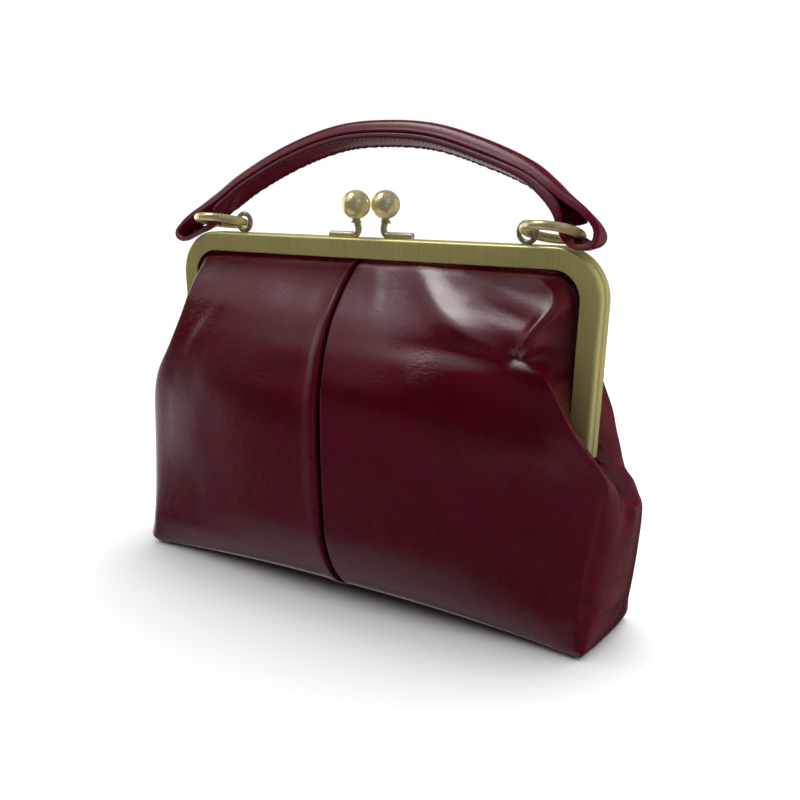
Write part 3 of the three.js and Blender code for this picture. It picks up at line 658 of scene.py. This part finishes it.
# How much the leather shines, from 0 to 1, and where the front shines more or less, in its X and Z:
# start, middle and end of the line, how far it reaches, and the change
EVEN_POLISH = 0.4
POLISH_LINES = [
    ((41, 188), (72, 160), (113, 147), 7, 0.6),
    ((125, 172), (118, 160), (114, 146), 2.5, 0.4),
    ((59, 180), (90, 174), (120, 171), 3, 0.15),
    ((70, 187), (96, 180), (118, 180), 7, -0.55),
    ((78, 171), (99, 169), (117, 165), 4, -0.3),
    ((76, 157), (90, 152), (104, 147), 5, -0.3),
    ((-120, 188), (-60, 189), (-8, 189), 15, -0.6),
    ((60, 141), (84, 144), (106, 143), 5, -0.25),
    ((112, 142), (118, 140), (126, 137), 6, -0.45),
    ((8, 190), (40, 190), (60, 189), 5, -0.25),
    ((64, 124), (95, 114), (122, 112), 18, -0.5),
    ((-2, 122), (40, 112), (64, 122), 9, -0.3),
    ((-94, 117), (-55, 110), (-20, 104), 13, -0.25),
    ((20, 165), (35, 150), (54, 142), 20, 0.28),
    ((-135, 103), (-136, 70), (-137, 31), 8, 0.35),
    ((112, 102), (132, 100), (148, 70), 12, 0.1),
]

# The leather's creased places: middle in X, Y and Z, and how far each reaches
CREASED_SPOTS = [((150, 6, 98), 30), ((-104, -34, 152), 14), ((60, -38, 134), 14), ((158, -18, 20), 14)]
# How much more the creased places of each panel shine
CREASE_POLISH = {"front": 0.1, "back": 0.6}
LINE_STEPS = 32

# The centre seam: places across the panel and how far the leather stands out there. The left panel has
# a rounded fold, then come a deep narrow groove and the right panel's edge.
SEAM_PROFILE = [
    (-0.085, 0.0), (-0.05, 0.35), (-0.03, 1.0), (-0.018, 1.3), (-0.009, 0.9), (-0.004, -0.6),
    (0.0, -5.0), (0.005, -5.0), (0.009, -0.5), (0.014, 0.15), (0.03, 0.1), (0.05, 0.0),
]
# How strong the seam is, by row
SEAM_FADE = [(1, 0.3), (2.5, 0.6), (5, 1), (10, 1), (15.5, 0.8), (17.5, 0.3)]

# A panel's grid: stops across it and down its rows, and how many steps lie between them
ACROSS_STOPS = [-1, -0.6, -0.09, -0.03, 0.025, 0.06, 0.6, 1]
ACROSS_COUNTS = [36, 24, 10, 22, 5, 30, 46]
DOWN_STOPS = [0, 1, 2, 12, 16, 18]
DOWN_COUNTS = [4, 6, 70, 26, 12]
# How near a panel's side, and how many rows below its rim, the folds die away
SIDE_FADE = 0.06
RIM_FADE = 1.5
# The wall's thickness as a share of the solid's
WALL_SHARE = 0.8


def line_gaps(points, start, middle, end):
    """How far each point lies from a curve in X and Z, and where along the curve that is."""
    steps = np.linspace(0, 1, LINE_STEPS + 1)[:, None]
    line = (1 - steps) ** 2 * np.array(start) + 2 * steps * (1 - steps) * np.array(middle)
    line = line + steps**2 * np.array(end)
    gaps = np.linalg.norm(points[..., (0, 2)][:, :, None, :] - line[None, None], axis=3)
    return gaps.min(axis=2), gaps.argmin(axis=2) / LINE_STEPS


def fold_heights(points, folds):
    """How far the folds raise each point."""
    total = np.zeros(points.shape[:2])
    for start, middle, end, reach, height, crisp in folds:
        gaps, along = line_gaps(points, start, middle, end)
        taper = np.sin(math.pi * np.clip(along, 0.03, 0.97)) ** 0.7
        share = gaps / reach
        soft = np.exp(-2 * share**2)
        roof = np.clip(1 - np.sqrt(share**2 + 0.003) * 0.85, 0, None) ** 1.4
        total += height * taper * ((1 - crisp) * soft + crisp * roof)
    return total


def polish_map(points, panel):
    """How much the leather shines at each point, from 0 to 1."""
    total = np.full(points.shape[:2], EVEN_POLISH)
    if panel == "front":
        for start, middle, end, reach, change in POLISH_LINES:
            gaps, _ = line_gaps(points, start, middle, end)
            total += change * np.exp(-2 * (gaps / reach) ** 2)
    return np.clip(total, 0, 1)


def creased_map(points):
    """How much the leather is creased at each point, from 0 to 1."""
    total = np.zeros(points.shape[:2])
    for middle, reach in CREASED_SPOTS:
        gaps = np.linalg.norm(points - np.array(middle), axis=2)
        total = np.maximum(total, np.exp(-2 * (gaps / reach) ** 2))
    return total


def seam_heights(across, down):
    """How far the centre seam raises each point."""
    profile = smooth_through(*zip(*SEAM_PROFILE), across)
    fade = np.interp(down, *zip(*SEAM_FADE))
    return profile[:, None] * fade[None, :]


def spaced(stops, counts):
    """Joins evenly spaced runs between stops."""
    runs = [np.linspace(a, b, count, endpoint=False) for a, b, count in zip(stops, stops[1:], counts)]
    return np.concatenate(runs + [[stops[-1]]])


def vertex_layer(bm, name):
    """The vertices' float attribute of that name."""
    return bm.verts.layers.float.get(name) or bm.verts.layers.float.new(name)


def add_panel(bm, panel, folds):
    """One leather panel, from a grid whose points are moved onto the sections."""
    across = spaced(ACROSS_STOPS, ACROSS_COUNTS)
    down = spaced(DOWN_STOPS, DOWN_COUNTS)
    points = leather_surface(panel, across, down)
    raised = seam_heights(across, down) + fold_heights(points, folds)
    side_fade = np.minimum(1, (1 - np.abs(across)) / SIDE_FADE)
    rim_fade = np.minimum(1, down / RIM_FADE)
    points = points + grid_normals(points) * (raised * (side_fade[:, None] * rim_fade[None, :]))[..., None]
    if panel == "back":
        points[..., 1] *= -1
    creased = creased_map(points)
    polish = np.clip(polish_map(points, panel) + CREASE_POLISH[panel] * creased, 0, 1)
    polish_layer = vertex_layer(bm, "polish")
    creased_layer = vertex_layer(bm, "creased")
    wide, tall = len(across) - 1, len(down) - 1
    grid = bmesh.ops.create_grid(bm, x_segments=wide, y_segments=tall, size=1.0)
    layer = bm.loops.layers.uv.verify()
    for vertex in grid["verts"]:
        i, j = grid_place(vertex, wide, tall)
        for loop in vertex.link_loops:
            loop[layer].uv = (across[i], down[j] / down[-1])
        vertex[polish_layer] = polish[i, j]
        vertex[creased_layer] = creased[i, j]
        vertex.co = points[i, j]


def make_body():
    """Both panels, joined at their sides and base, with a wall inwards."""
    bm = bmesh.new()
    add_panel(bm, "front", FRONT_FOLDS)
    add_panel(bm, "back", BACK_FOLDS)
    bmesh.ops.remove_doubles(bm, verts=bm.verts, dist=0.01)
    bmesh.ops.recalc_face_normals(bm, faces=bm.faces)
    body = finish_piece(bm, "body", [body_leather], ("leather_body",))
    wall = body.modifiers.new("wall", "SOLIDIFY")
    wall.thickness = WALL_SHARE * LEATHER * MM
    wall.offset = -1


# Brass frame


# The channel's rounded front edge and the small bevel of its other edges
EDGE_ROUND = 1.6
EDGE_STEPS = 6
BEVEL = 0.2
STRAIGHT_STEPS = 4
CORNER_STEPS = 28
# The necks that join the hinge ears to the channel: how far back and up, and their size
NECK_BACK = 2.7
NECK_RISE = 3.3
NECK_SIZE = (PLATE, 3.4, 6.6, 1)
# The clasp: ball and rod foot, out to the side and back, the rod's reach and bend, and the collars' drop
# below the ball's middle and radius
BALL_OUT = 6.9
BALL_BACK = 4.4
ROD_OUT = 6.4
ROD_BACK = 3.0
ROD_REACH = (26, 16)
ROD_BEND = 3.2
ROD_STEPS = 6
COLLARS = ((8.35, 2.5), (9.4, 3.0))
COLLAR_TILT = math.radians(9)


def channel_profile():
    """The folded channel's section for the front half, as (y, depth) points round its wall."""
    front, back, edge = -FRAME_FRONT, -SEAM_GAP, EDGE_ROUND
    low = FRAME_FACE - BEVEL
    points = []
    for step in range(EDGE_STEPS + 1):
        angle = math.pi / 2 * step / EDGE_STEPS
        points.append((front + edge - edge * math.sin(angle), edge - edge * math.cos(angle)))
    points += [(front, 4), (front, 7), (front, FRAME_FACE - 0.35), (front + 0.3, FRAME_FACE)]
    points += [(front + PLATE - BEVEL, FRAME_FACE), (front + PLATE, low), (front + PLATE, PLATE)]
    points += [(back - PLATE, PLATE), (back - PLATE, low), (back - PLATE + BEVEL, FRAME_FACE)]
    points += [(back - BEVEL, FRAME_FACE), (back, low), (back, 0.6), (back - 0.2, 0.18), (back - 0.6, 0)]
    return points


def add_channel(bm, way):
    """The bent channel of one frame half: along the top, round the corner and down the leg."""
    loop = [bm.verts.new((0, -way * y, FRAME_TOP - depth)) for y, depth in channel_profile()]
    edges = [bm.edges.new((a, b)) for a, b in zip(loop, loop[1:] + loop[:1])]

    def extend(edges, shift):
        made = bmesh.ops.extrude_edge_only(bm, edges=edges)["geom"]
        verts = [part for part in made if isinstance(part, bmesh.types.BMVert)]
        bmesh.ops.translate(bm, vec=shift, verts=verts)
        return [part for part in made if isinstance(part, bmesh.types.BMEdge) and part.is_boundary]

    for _ in range(STRAIGHT_STEPS):
        edges = extend(edges, (CORNER_X / STRAIGHT_STEPS, 0, 0))
    turned = bmesh.ops.spin(
        bm, geom=edges, cent=(CORNER_X, 0, CORNER_Z), axis=(0, 1, 0),
        angle=math.pi / 2 + LEG_LEAN, steps=CORNER_STEPS,
    )["geom_last"]
    edges = [part for part in turned if isinstance(part, bmesh.types.BMEdge)]
    step = (outline_point(LEG_START, 0)[1] - LEG_FOOT) / math.cos(LEG_LEAN) / STRAIGHT_STEPS
    for _ in range(STRAIGHT_STEPS):
        edges = extend(edges, (-step * math.sin(LEG_LEAN), 0, -step * math.cos(LEG_LEAN)))
    bmesh.ops.contextual_create(bm, geom=edges)
    bmesh.ops.mirror(bm, geom=bm.verts[:] + bm.edges[:] + bm.faces[:], axis="X", merge_dist=0.01)


def add_torus(bm, radius, wire, turn, around, section):
    """A round wire ring about the origin, turned by a matrix."""
    upright = Matrix.Translation((radius, 0, 0)) @ Matrix.Rotation(math.pi / 2, 4, "X")
    made = bmesh.ops.create_circle(bm, segments=section, radius=wire, matrix=upright)["verts"]
    before = set(bm.verts) - set(made)
    bmesh.ops.spin(
        bm, geom=made + edges_of(made), cent=(0, 0, 0), axis=(0, 0, 1), angle=2 * math.pi,
        steps=around, use_merge=True,
    )
    fresh = [vertex for vertex in bm.verts if vertex not in before]
    bmesh.ops.transform(bm, matrix=turn, verts=fresh)


def add_rod(bm, points):
    """A round bar along a smooth path of points."""
    path = [Vector(point) for point in points]
    ends = [path[0]] + path + [path[-1]]
    spots = [
        curve_between(*ends[i:i + 4], step / ROD_STEPS)
        for i in range(len(path) - 1) for step in range(ROD_STEPS)
    ] + [path[-1]]
    last = None
    for i, spot in enumerate(spots):
        ahead = spots[min(i + 1, len(spots) - 1)] - spots[max(i - 1, 0)]
        matrix = Matrix.Translation(spot) @ ahead.to_track_quat("Z", "Y").to_matrix().to_4x4()
        ring = bmesh.ops.create_circle(bm, segments=16, radius=ROD_RADIUS, matrix=matrix)["verts"]
        edges = edges_of(ring)
        if last:
            bmesh.ops.bridge_loops(bm, edges=last + edges)
        else:
            bmesh.ops.contextual_create(bm, geom=edges)
        last = edges
    bmesh.ops.contextual_create(bm, geom=last)


def add_clasp(bm, way):
    """A ball on its collars and its bent rod, with material indices 1 for brass and 2 for rods."""
    ball = Vector((way * BALL_OUT, way * BALL_BACK, BALL_Z))
    stand = Vector((way * ROD_OUT, way * ROD_BACK, FRAME_TOP + ROD_RADIUS - 0.4))
    before = set(bm.faces)
    spot = Matrix.Translation(ball)
    bmesh.ops.create_uvsphere(bm, u_segments=48, v_segments=28, radius=BALL_RADIUS, matrix=spot)
    painted(bm, before, 1)
    before = set(bm.faces)
    tilt = Matrix.Rotation(COLLAR_TILT if way > 0 else 0, 4, "Y")
    for drop, radius in COLLARS:
        spot = Matrix.Translation(ball - Vector((0, 0, drop))) @ tilt
        made = bmesh.ops.create_cone(
            bm, cap_ends=True, segments=28, radius1=radius, radius2=radius * 0.92, depth=1.0, matrix=spot,
        )["verts"]
        bmesh.ops.bevel(
            bm, geom=edges_of(made), offset=0.22, affect="EDGES", segments=2, profile=0.5, material=-1,
        )
    top = ball - Vector((0, 0, BALL_RADIUS - 1))
    foot = stand + Vector((0, 0, ROD_BEND))
    add_rod(bm, [
        *((way * reach, stand.y, stand.z) for reach in ROD_REACH), stand + Vector((way * ROD_BEND, 0, 0)),
        stand + Vector((way * ROD_BEND * 0.3, 0, ROD_BEND * 0.3)), foot, foot.lerp(top, 0.6), top,
    ])
    painted(bm, before, 2)


def make_frame_half(name, way):
    """One half of the frame with its hinge ears and clasp, and the back half's eyelets."""
    bm = bmesh.new()
    add_channel(bm, way)
    foot_x = outline_point(run_to_height(LEG_FOOT, 0), 0)[0] - (0 if way < 0 else PLATE + FIT)
    middle = foot_x - PLATE / 2
    for side in (-1, 1):
        ear = Matrix.Translation((side * middle, 0, HINGE_Z)) @ Matrix.Rotation(math.pi / 2, 4, "Y")
        bmesh.ops.create_cone(
            bm, cap_ends=True, segments=32, radius1=LUG_RADIUS, radius2=LUG_RADIUS, depth=PLATE, matrix=ear,
        )
        neck = Matrix.Translation((side * middle, way * NECK_BACK, HINGE_Z + NECK_RISE))
        bmesh.ops.create_cube(bm, size=1.0, matrix=neck @ Matrix.Diagonal(NECK_SIZE))
    add_clasp(bm, way)
    if way > 0:
        before = set(bm.faces)
        for side in (-1, 1):
            spot = Matrix.Translation((side * EYELET_X, EYELET_Y, EYELET_Z))
            turn = spot @ Matrix.Rotation(math.pi / 2, 4, "X")
            add_torus(bm, EYELET_HOLE + EYELET_WIRE, EYELET_WIRE, turn, 40, 14)
        painted(bm, before, 3)
    bmesh.ops.recalc_face_normals(bm, faces=bm.faces)
    materials = [brushed_brass, ball_brass, rod_brass, eyelet_brass]
    piece = finish_piece(bm, name, materials, (name.replace("brass_", "frame_"),))
    piece.data.set_sharp_from_angle(angle=math.radians(40))


# Each ring's side, its tilt, swing, sag and low in degrees, and its play, as in the solids
RING_HANG = {
    "ring_left": (-1, 12, 22, 1, 35, 0.35),
    "ring_right": (1, 17, 8, 0, 10, 0.7),
}


def make_ring(name):
    """A ring hung in its eyelet."""
    side, tilt, swing, sag, low, play = RING_HANG[name]
    swing, low = math.radians(swing), math.radians(low)
    slack = play * (EYELET_HOLE - RING_WIRE - FIT)
    hang = Vector((side * (EYELET_X + slack * math.cos(low)), EYELET_Y, EYELET_Z - slack * math.sin(low)))
    turn = (
        Matrix.Translation(hang)
        @ Matrix.Rotation(side * math.radians(sag), 4, "Y")
        @ Matrix.Rotation(-math.radians(tilt), 4, "X")
        @ Matrix.Translation((side * RING_RADIUS * math.cos(swing), -RING_RADIUS * math.sin(swing), 0))
    )
    bm = bmesh.new()
    add_torus(bm, RING_RADIUS, RING_WIRE, turn, 96, 24)
    bmesh.ops.recalc_face_normals(bm, faces=bm.faces)
    finish_piece(bm, "brass_" + name, [ring_brass], (name,))


# Handle


LEAN_UP = np.array([0, math.sin(HANDLE_LEAN), math.cos(HANDLE_LEAN)])
TOWARD_FRONT = np.array([0, -math.cos(HANDLE_LEAN), math.sin(HANDLE_LEAN)])

# The grip's line, close to its solid's: along, rise, thick, wide and flare
GRIP_LINE = [
    (1.001, 0.036, 0.32, 0.8, 0.2), (1.011, -0.011, 0.34, 0.7, 0.3), (1.043, -0.075, 0.36, 0.57, 0.45),
    (1.086, -0.109, 0.37, 0.57, 0.4), (1.124, -0.092, 0.39, 0.57, 0.2), (1.133, -0.017, 0.4, 0.66, 0),
    (1.107, 0.073, 0.42, 0.78, 0), (1.047, 0.172, 0.52, 0.88, 0), (0.96, 0.281, 0.68, 0.95, 0),
    (0.871, 0.413, 0.82, 1, 0), (0.774, 0.545, 0.9, 1, 0), (0.516, 0.771, 1, 1, 0),
    (0.247, 0.946, 1, 1, 0), (-0.003, 1, 1, 1, 0), (-0.281, 0.964, 1, 1, 0), (-0.556, 0.761, 1, 1, 0),
    (-0.829, 0.417, 0.95, 1, 0), (-0.947, 0.21, 0.88, 0.95, 0), (-1.033, 0.084, 0.68, 0.9, 0),
    (-1.122, -0.031, 0.5, 0.82, 0), (-1.178, -0.119, 0.4, 0.66, 0), (-1.193, -0.18, 0.38, 0.57, 0.3),
    (-1.155, -0.208, 0.36, 0.57, 0.6), (-1.115, -0.176, 0.34, 0.57, 0.75), (-1.069, -0.128, 0.3, 0.57, 0.7),
    (-1.02, -0.08, 0.28, 0.58, 0.5), (-0.994, -0.015, 0.3, 0.6, 0.3), (-0.992, 0.05, 0.32, 0.6, 0.2),
]
# The lining's line: along, rise, thick, wide, and top and curl, how far its top face and back edge rise
LINING_LINE = [
    (0.99, 0.07, 0.9, 0.86, 0.3, 10), (0.974, 0.155, 1.0, 0.92, 1.2, 9), (0.94, 0.252, 1.0, 0.96, 2.3, 4.5),
    (0.88, 0.377, 1.0, 1, 1.8, 1), (0.774, 0.545, 1, 1, 0.7, 0), (0.516, 0.771, 1, 1, 0, 0),
    (0.247, 0.946, 1, 1, 0, 0), (-0.003, 1, 1, 1, 0, 0), (-0.281, 0.964, 1, 1, 0, 0),
    (-0.556, 0.761, 1, 1, 0, 0), (-0.829, 0.417, 1, 1, 0, 0), (-0.912, 0.254, 0.9, 0.96, 0.4, 0),
    (-0.961, 0.161, 0.84, 0.9, 0.8, 0), (-0.983, 0.099, 0.8, 0.84, 0.3, 0),
]
# The stitches: pitch, how far in from the lining's edge and up from its underside, and half sizes
STITCH_PITCH = 3.3
STITCH_INSET = 1.9
STITCH_SINK = 0.22
STITCH_SIZE = (1.1, 0.38, 0.38, 1)


def line_stations(line, each):
    """Stations along a line of the handle: point and tangent in its plane, and the other columns."""
    rows = np.array(line, float)
    spots = rows[:, :2] * (HANDLE_HALF, HANDLE_RISE)
    knots = run_lengths(spots, 0.5)
    at = spaced(knots, [each] * (len(knots) - 1))
    points = cubic_curve(knots, at, spots, np.gradient(spots, knots, axis=0))
    tangents = np.gradient(points, at, axis=0)
    tangents /= np.linalg.norm(tangents, axis=1, keepdims=True)
    return points, tangents, smooth_through(knots, rows[:, 2:], at)


def on_handle(point, tangent, n, height):
    """A place in space from a station, n towards the front and height out of the line."""
    u = point[..., 0] + tangent[..., 1] * height
    t = point[..., 1] - tangent[..., 0] * height
    place = np.stack([u, np.full_like(u, HANDLE_Y), np.full_like(u, HANDLE_Z)], axis=-1)
    return place + t[..., None] * LEAN_UP + n[..., None] * TOWARD_FRONT


def rounded_loop(points, count):
    """A closed smooth loop through corner points."""
    corners = np.array(points, float)
    at = np.linspace(0, len(corners), count, endpoint=False)
    index = at.astype(int)
    around = [corners[(index + step) % len(corners)] for step in (-1, 0, 1, 2)]
    return curve_between(*around, (at - index)[:, None])


def swept_piece(name, line, each, section, around, material, node):
    """Sweeps a closed section along a line, from a grid wrapped into a tube and closed at its ends."""
    points, tangents, columns = line_stations(line, each)
    places = []
    for point, tangent, values, run in zip(points, tangents, columns, run_lengths(points)):
        shape = rounded_loop(section(values, run), around)
        places.append(on_handle(point[None], tangent[None], shape[:, 0], shape[:, 1]))
    places = np.array(places)
    stations = len(places) - 1
    bm = bmesh.new()
    grid = bmesh.ops.create_grid(bm, x_segments=stations, y_segments=around, size=1.0)
    for vertex in grid["verts"]:
        i, j = grid_place(vertex, stations, around)
        vertex.co = places[i, j % around]
    bmesh.ops.remove_doubles(bm, verts=bm.verts, dist=0.001)
    bmesh.ops.holes_fill(bm, edges=[edge for edge in bm.edges if edge.is_boundary])
    bmesh.ops.recalc_face_normals(bm, faces=bm.faces)
    return finish_piece(bm, name, [material], (node,))


def grip_section(values, _):
    """The domed pad over a rolled rim, which flattens into a strap at the loops."""
    thick, wide, flare = values
    height = thick * PAD_HEIGHT
    half = wide * HANDLE_WIDTH / 2
    rear = (0.75 + 0.25 * wide) * HANDLE_WIDTH / 2
    flat = min(1.0, max(0.0, (0.95 - thick) / 0.5))
    rim = height * (0.2 + 0.16 * flat)
    right = [
        (0.5, 0.05), (0.9, 0.1), (1.0, 0.3 * rim), (1.01, 0.8 * rim), (0.965, rim),
        (0.95 + 0.02 * flat, rim * 1.18), (0.9 + 0.07 * flat, height * (0.55 + 0.2 * flat)),
        (0.72 + 0.18 * flat, height * (0.83 + 0.12 * flat)), (0.4, height * 0.98),
    ]
    loop = [(0.0, 0.05)] + right + [(0.0, height)] + [(-n, out) for n, out in reversed(right)]
    return [((half if n > 0 else rear) * n, out + flare * height * min(n, 3.5 * n)) for n, out in loop]


def lining_section(values, run):
    """The flat lower strip with rolled edges, puckered along its back edge by the stitches."""
    thick, wide, top, curl = values
    half = wide * HANDLE_WIDTH / 2
    depth = thick * STRAP_THICK
    pucker = 0.2 * math.sin(1.3 * run + 2.4 * math.sin(0.23 * run)) + 0.14 * math.sin(2.9 * run)
    face = top - 0.45
    right = [(0.5, face), (0.86, face), (0.98, face - 0.45), (1.0, -0.5 * depth), (0.97, -depth + 0.4),
             (0.88, -depth), (0.8, -depth + 0.1), (0.74, -depth + 0.45), (0.4, -depth + 0.3)]
    back = [(-n, out + (pucker if n >= 0.74 and out < -depth + 0.5 else 0)) for n, out in reversed(right)]
    loop = [(0.0, face)] + right + [(0.0, -depth + 0.2)] + back
    return [(half * n, out + curl * max(-n, 0) ** 1.5) for n, out in loop]


def make_stitches():
    """Short threads under the lining, along both of its edges."""
    points, tangents, columns = line_stations(LINING_LINE[2:-2], 60)
    runs = run_lengths(points)
    bm = bmesh.new()
    for start in np.arange(2, runs[-1] - 2, STITCH_PITCH):
        index = int(np.searchsorted(runs, start))
        point, tangent, (thick, wide, _, _) = points[index], tangents[index], columns[index]
        heading = Vector((tangent[0], tangent[1] * LEAN_UP[1], tangent[1] * LEAN_UP[2]))
        turn = heading.to_track_quat("X", "Z").to_matrix().to_4x4() @ Matrix.Diagonal(STITCH_SIZE)
        for side in (-1, 1):
            n = np.array([side * (wide * HANDLE_WIDTH / 2 - STITCH_INSET)])
            height = np.array([-thick * STRAP_THICK + STITCH_SINK])
            place = on_handle(point[None], tangent[None], n, height)[0]
            matrix = Matrix.Translation(place) @ turn
            bmesh.ops.create_icosphere(bm, subdivisions=1, radius=1.0, matrix=matrix)
    finish_piece(bm, "stitches", [stitch_thread])


# Camera, light and floor


CAMERA_LENS = 47.9
CAMERA_PLACE = (0.35636, -0.47889, 0.23521)
CAMERA_PITCH = 12.11
CAMERA_TURN = 35.11
# The soft box: azimuth and elevation, distance, sides and power
BOX_TOWARD = (175, 72)
BOX_DISTANCE = 1.6
BOX_SIZE = (0.9, 0.7)
BOX_POWER = 6.5
FLOOR_HALF = 9000.0
FLOOR_DROP = 0.2


def make_camera():
    """The photo's view."""
    camera = bpy.data.cameras.new("camera")
    camera.lens = CAMERA_LENS
    camera.sensor_width = 36
    camera.clip_start = 0.01
    holder = linked("camera", camera)
    holder.location = CAMERA_PLACE
    holder.rotation_euler = (math.radians(90 - CAMERA_PITCH), 0, math.radians(CAMERA_TURN))
    bpy.context.scene.camera = holder


def direction(azimuth, elevation):
    """A unit vector. Azimuth is 0 at the front and grows to the bag's right."""
    az, el = math.radians(azimuth), math.radians(elevation)
    return Vector((math.sin(az) * math.cos(el), -math.cos(az) * math.cos(el), math.sin(el)))


def make_top_box():
    """A soft box above and behind the bag, left out of reflections."""
    light = bpy.data.lights.new("top_box", "AREA")
    light.shape = "RECTANGLE"
    light.size, light.size_y = BOX_SIZE
    light.energy = BOX_POWER
    holder = linked("top_box", light)
    toward = direction(*BOX_TOWARD)
    holder.location = toward * BOX_DISTANCE + Vector((0, 0, 0.1))
    holder.rotation_euler = toward.to_track_quat("Z", "Y").to_euler()
    holder.visible_camera = False
    holder.visible_glossy = False


# Soft patches of light in reflections: azimuth, elevation, half width in degrees and strength
GLOSS_PATCHES = [
    (-54, 42, 31, 0.95),
    (-76, 62, 14, 7.0),
    (-42, 56, 11, 4.0),
    (-98, 0, 36, 2.2),
    (62, 32, 22, 0.35),
    (45, -5, 12, 0.4),
    (140, -5, 50, 0.3),
    (-58, -58, 44, 0.5),
    (-140, 14, 40, 0.3),
    (-140, -22, 30, 0.6),
]


def make_world():
    """Plain white for the camera, bright above and behind for soft shading, and dim in reflections."""
    world = bpy.data.worlds.new("studio")
    bpy.context.scene.world = world
    world.cycles.sampling_method = "NONE"
    room = Finish(world)
    ray = room.add("ShaderNodeTexCoord", output="Generated")

    def toward(azimuth, elevation):
        inputs = {0: ray, 1: direction(azimuth, elevation)}
        return room.add("ShaderNodeVectorMath", {"operation": "DOT_PRODUCT"}, inputs, output="Value")

    shading = toward(180, 52).between(-0.2, 0.85) * 2.3 + 0.04
    gloss = toward(0, 90).between(0.6, 1.0) * 0.1 + 0.001
    for azimuth, elevation, width, strength in GLOSS_PATCHES:
        edge = math.cos(math.radians(width))
        gloss = gloss + toward(azimuth, elevation).between(edge, 1.0) * strength
    is_camera = room.add("ShaderNodeLightPath", output="Is Camera Ray")
    is_glossy = room.add("ShaderNodeLightPath", output="Is Glossy Ray")
    strength = shading + (gloss - shading) * is_glossy
    strength = strength + (1.0 - strength) * is_camera
    light = room.add("ShaderNodeBackground", None, {"Color": (1.0, 1.0, 1.0, 1.0), "Strength": strength})
    room.add("ShaderNodeOutputWorld", None, {"Surface": light})


def make_studio():
    """The pale floor, the world, the soft box and plain colours."""
    bm = bmesh.new()
    bmesh.ops.create_grid(bm, x_segments=1, y_segments=1, size=FLOOR_HALF)
    bmesh.ops.translate(bm, vec=(0, 0, -FLOOR_DROP), verts=bm.verts)
    floor = mesh_object(bm, "floor", [floor_paper])
    floor.visible_glossy = False
    make_world()
    make_top_box()
    view = bpy.context.scene.view_settings
    view.view_transform = "Standard"
    view.look = "None"


make_camera()
make_studio()
make_body()
make_frame_half("brass_front", -1)
make_frame_half("brass_back", 1)
for ring in RING_HANG:
    make_ring(ring)
grip = swept_piece("grip", GRIP_LINE, 10, grip_section, 60, handle_leather, "handle_grip")
swept_piece("lining", LINING_LINE, 34, lining_section, 48, lining_leather, "handle_lining")
make_stitches()
for rivet in ("hinge_rivet_left", "hinge_rivet_right"):
    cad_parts[rivet].material_slots[0].material = rod_brass
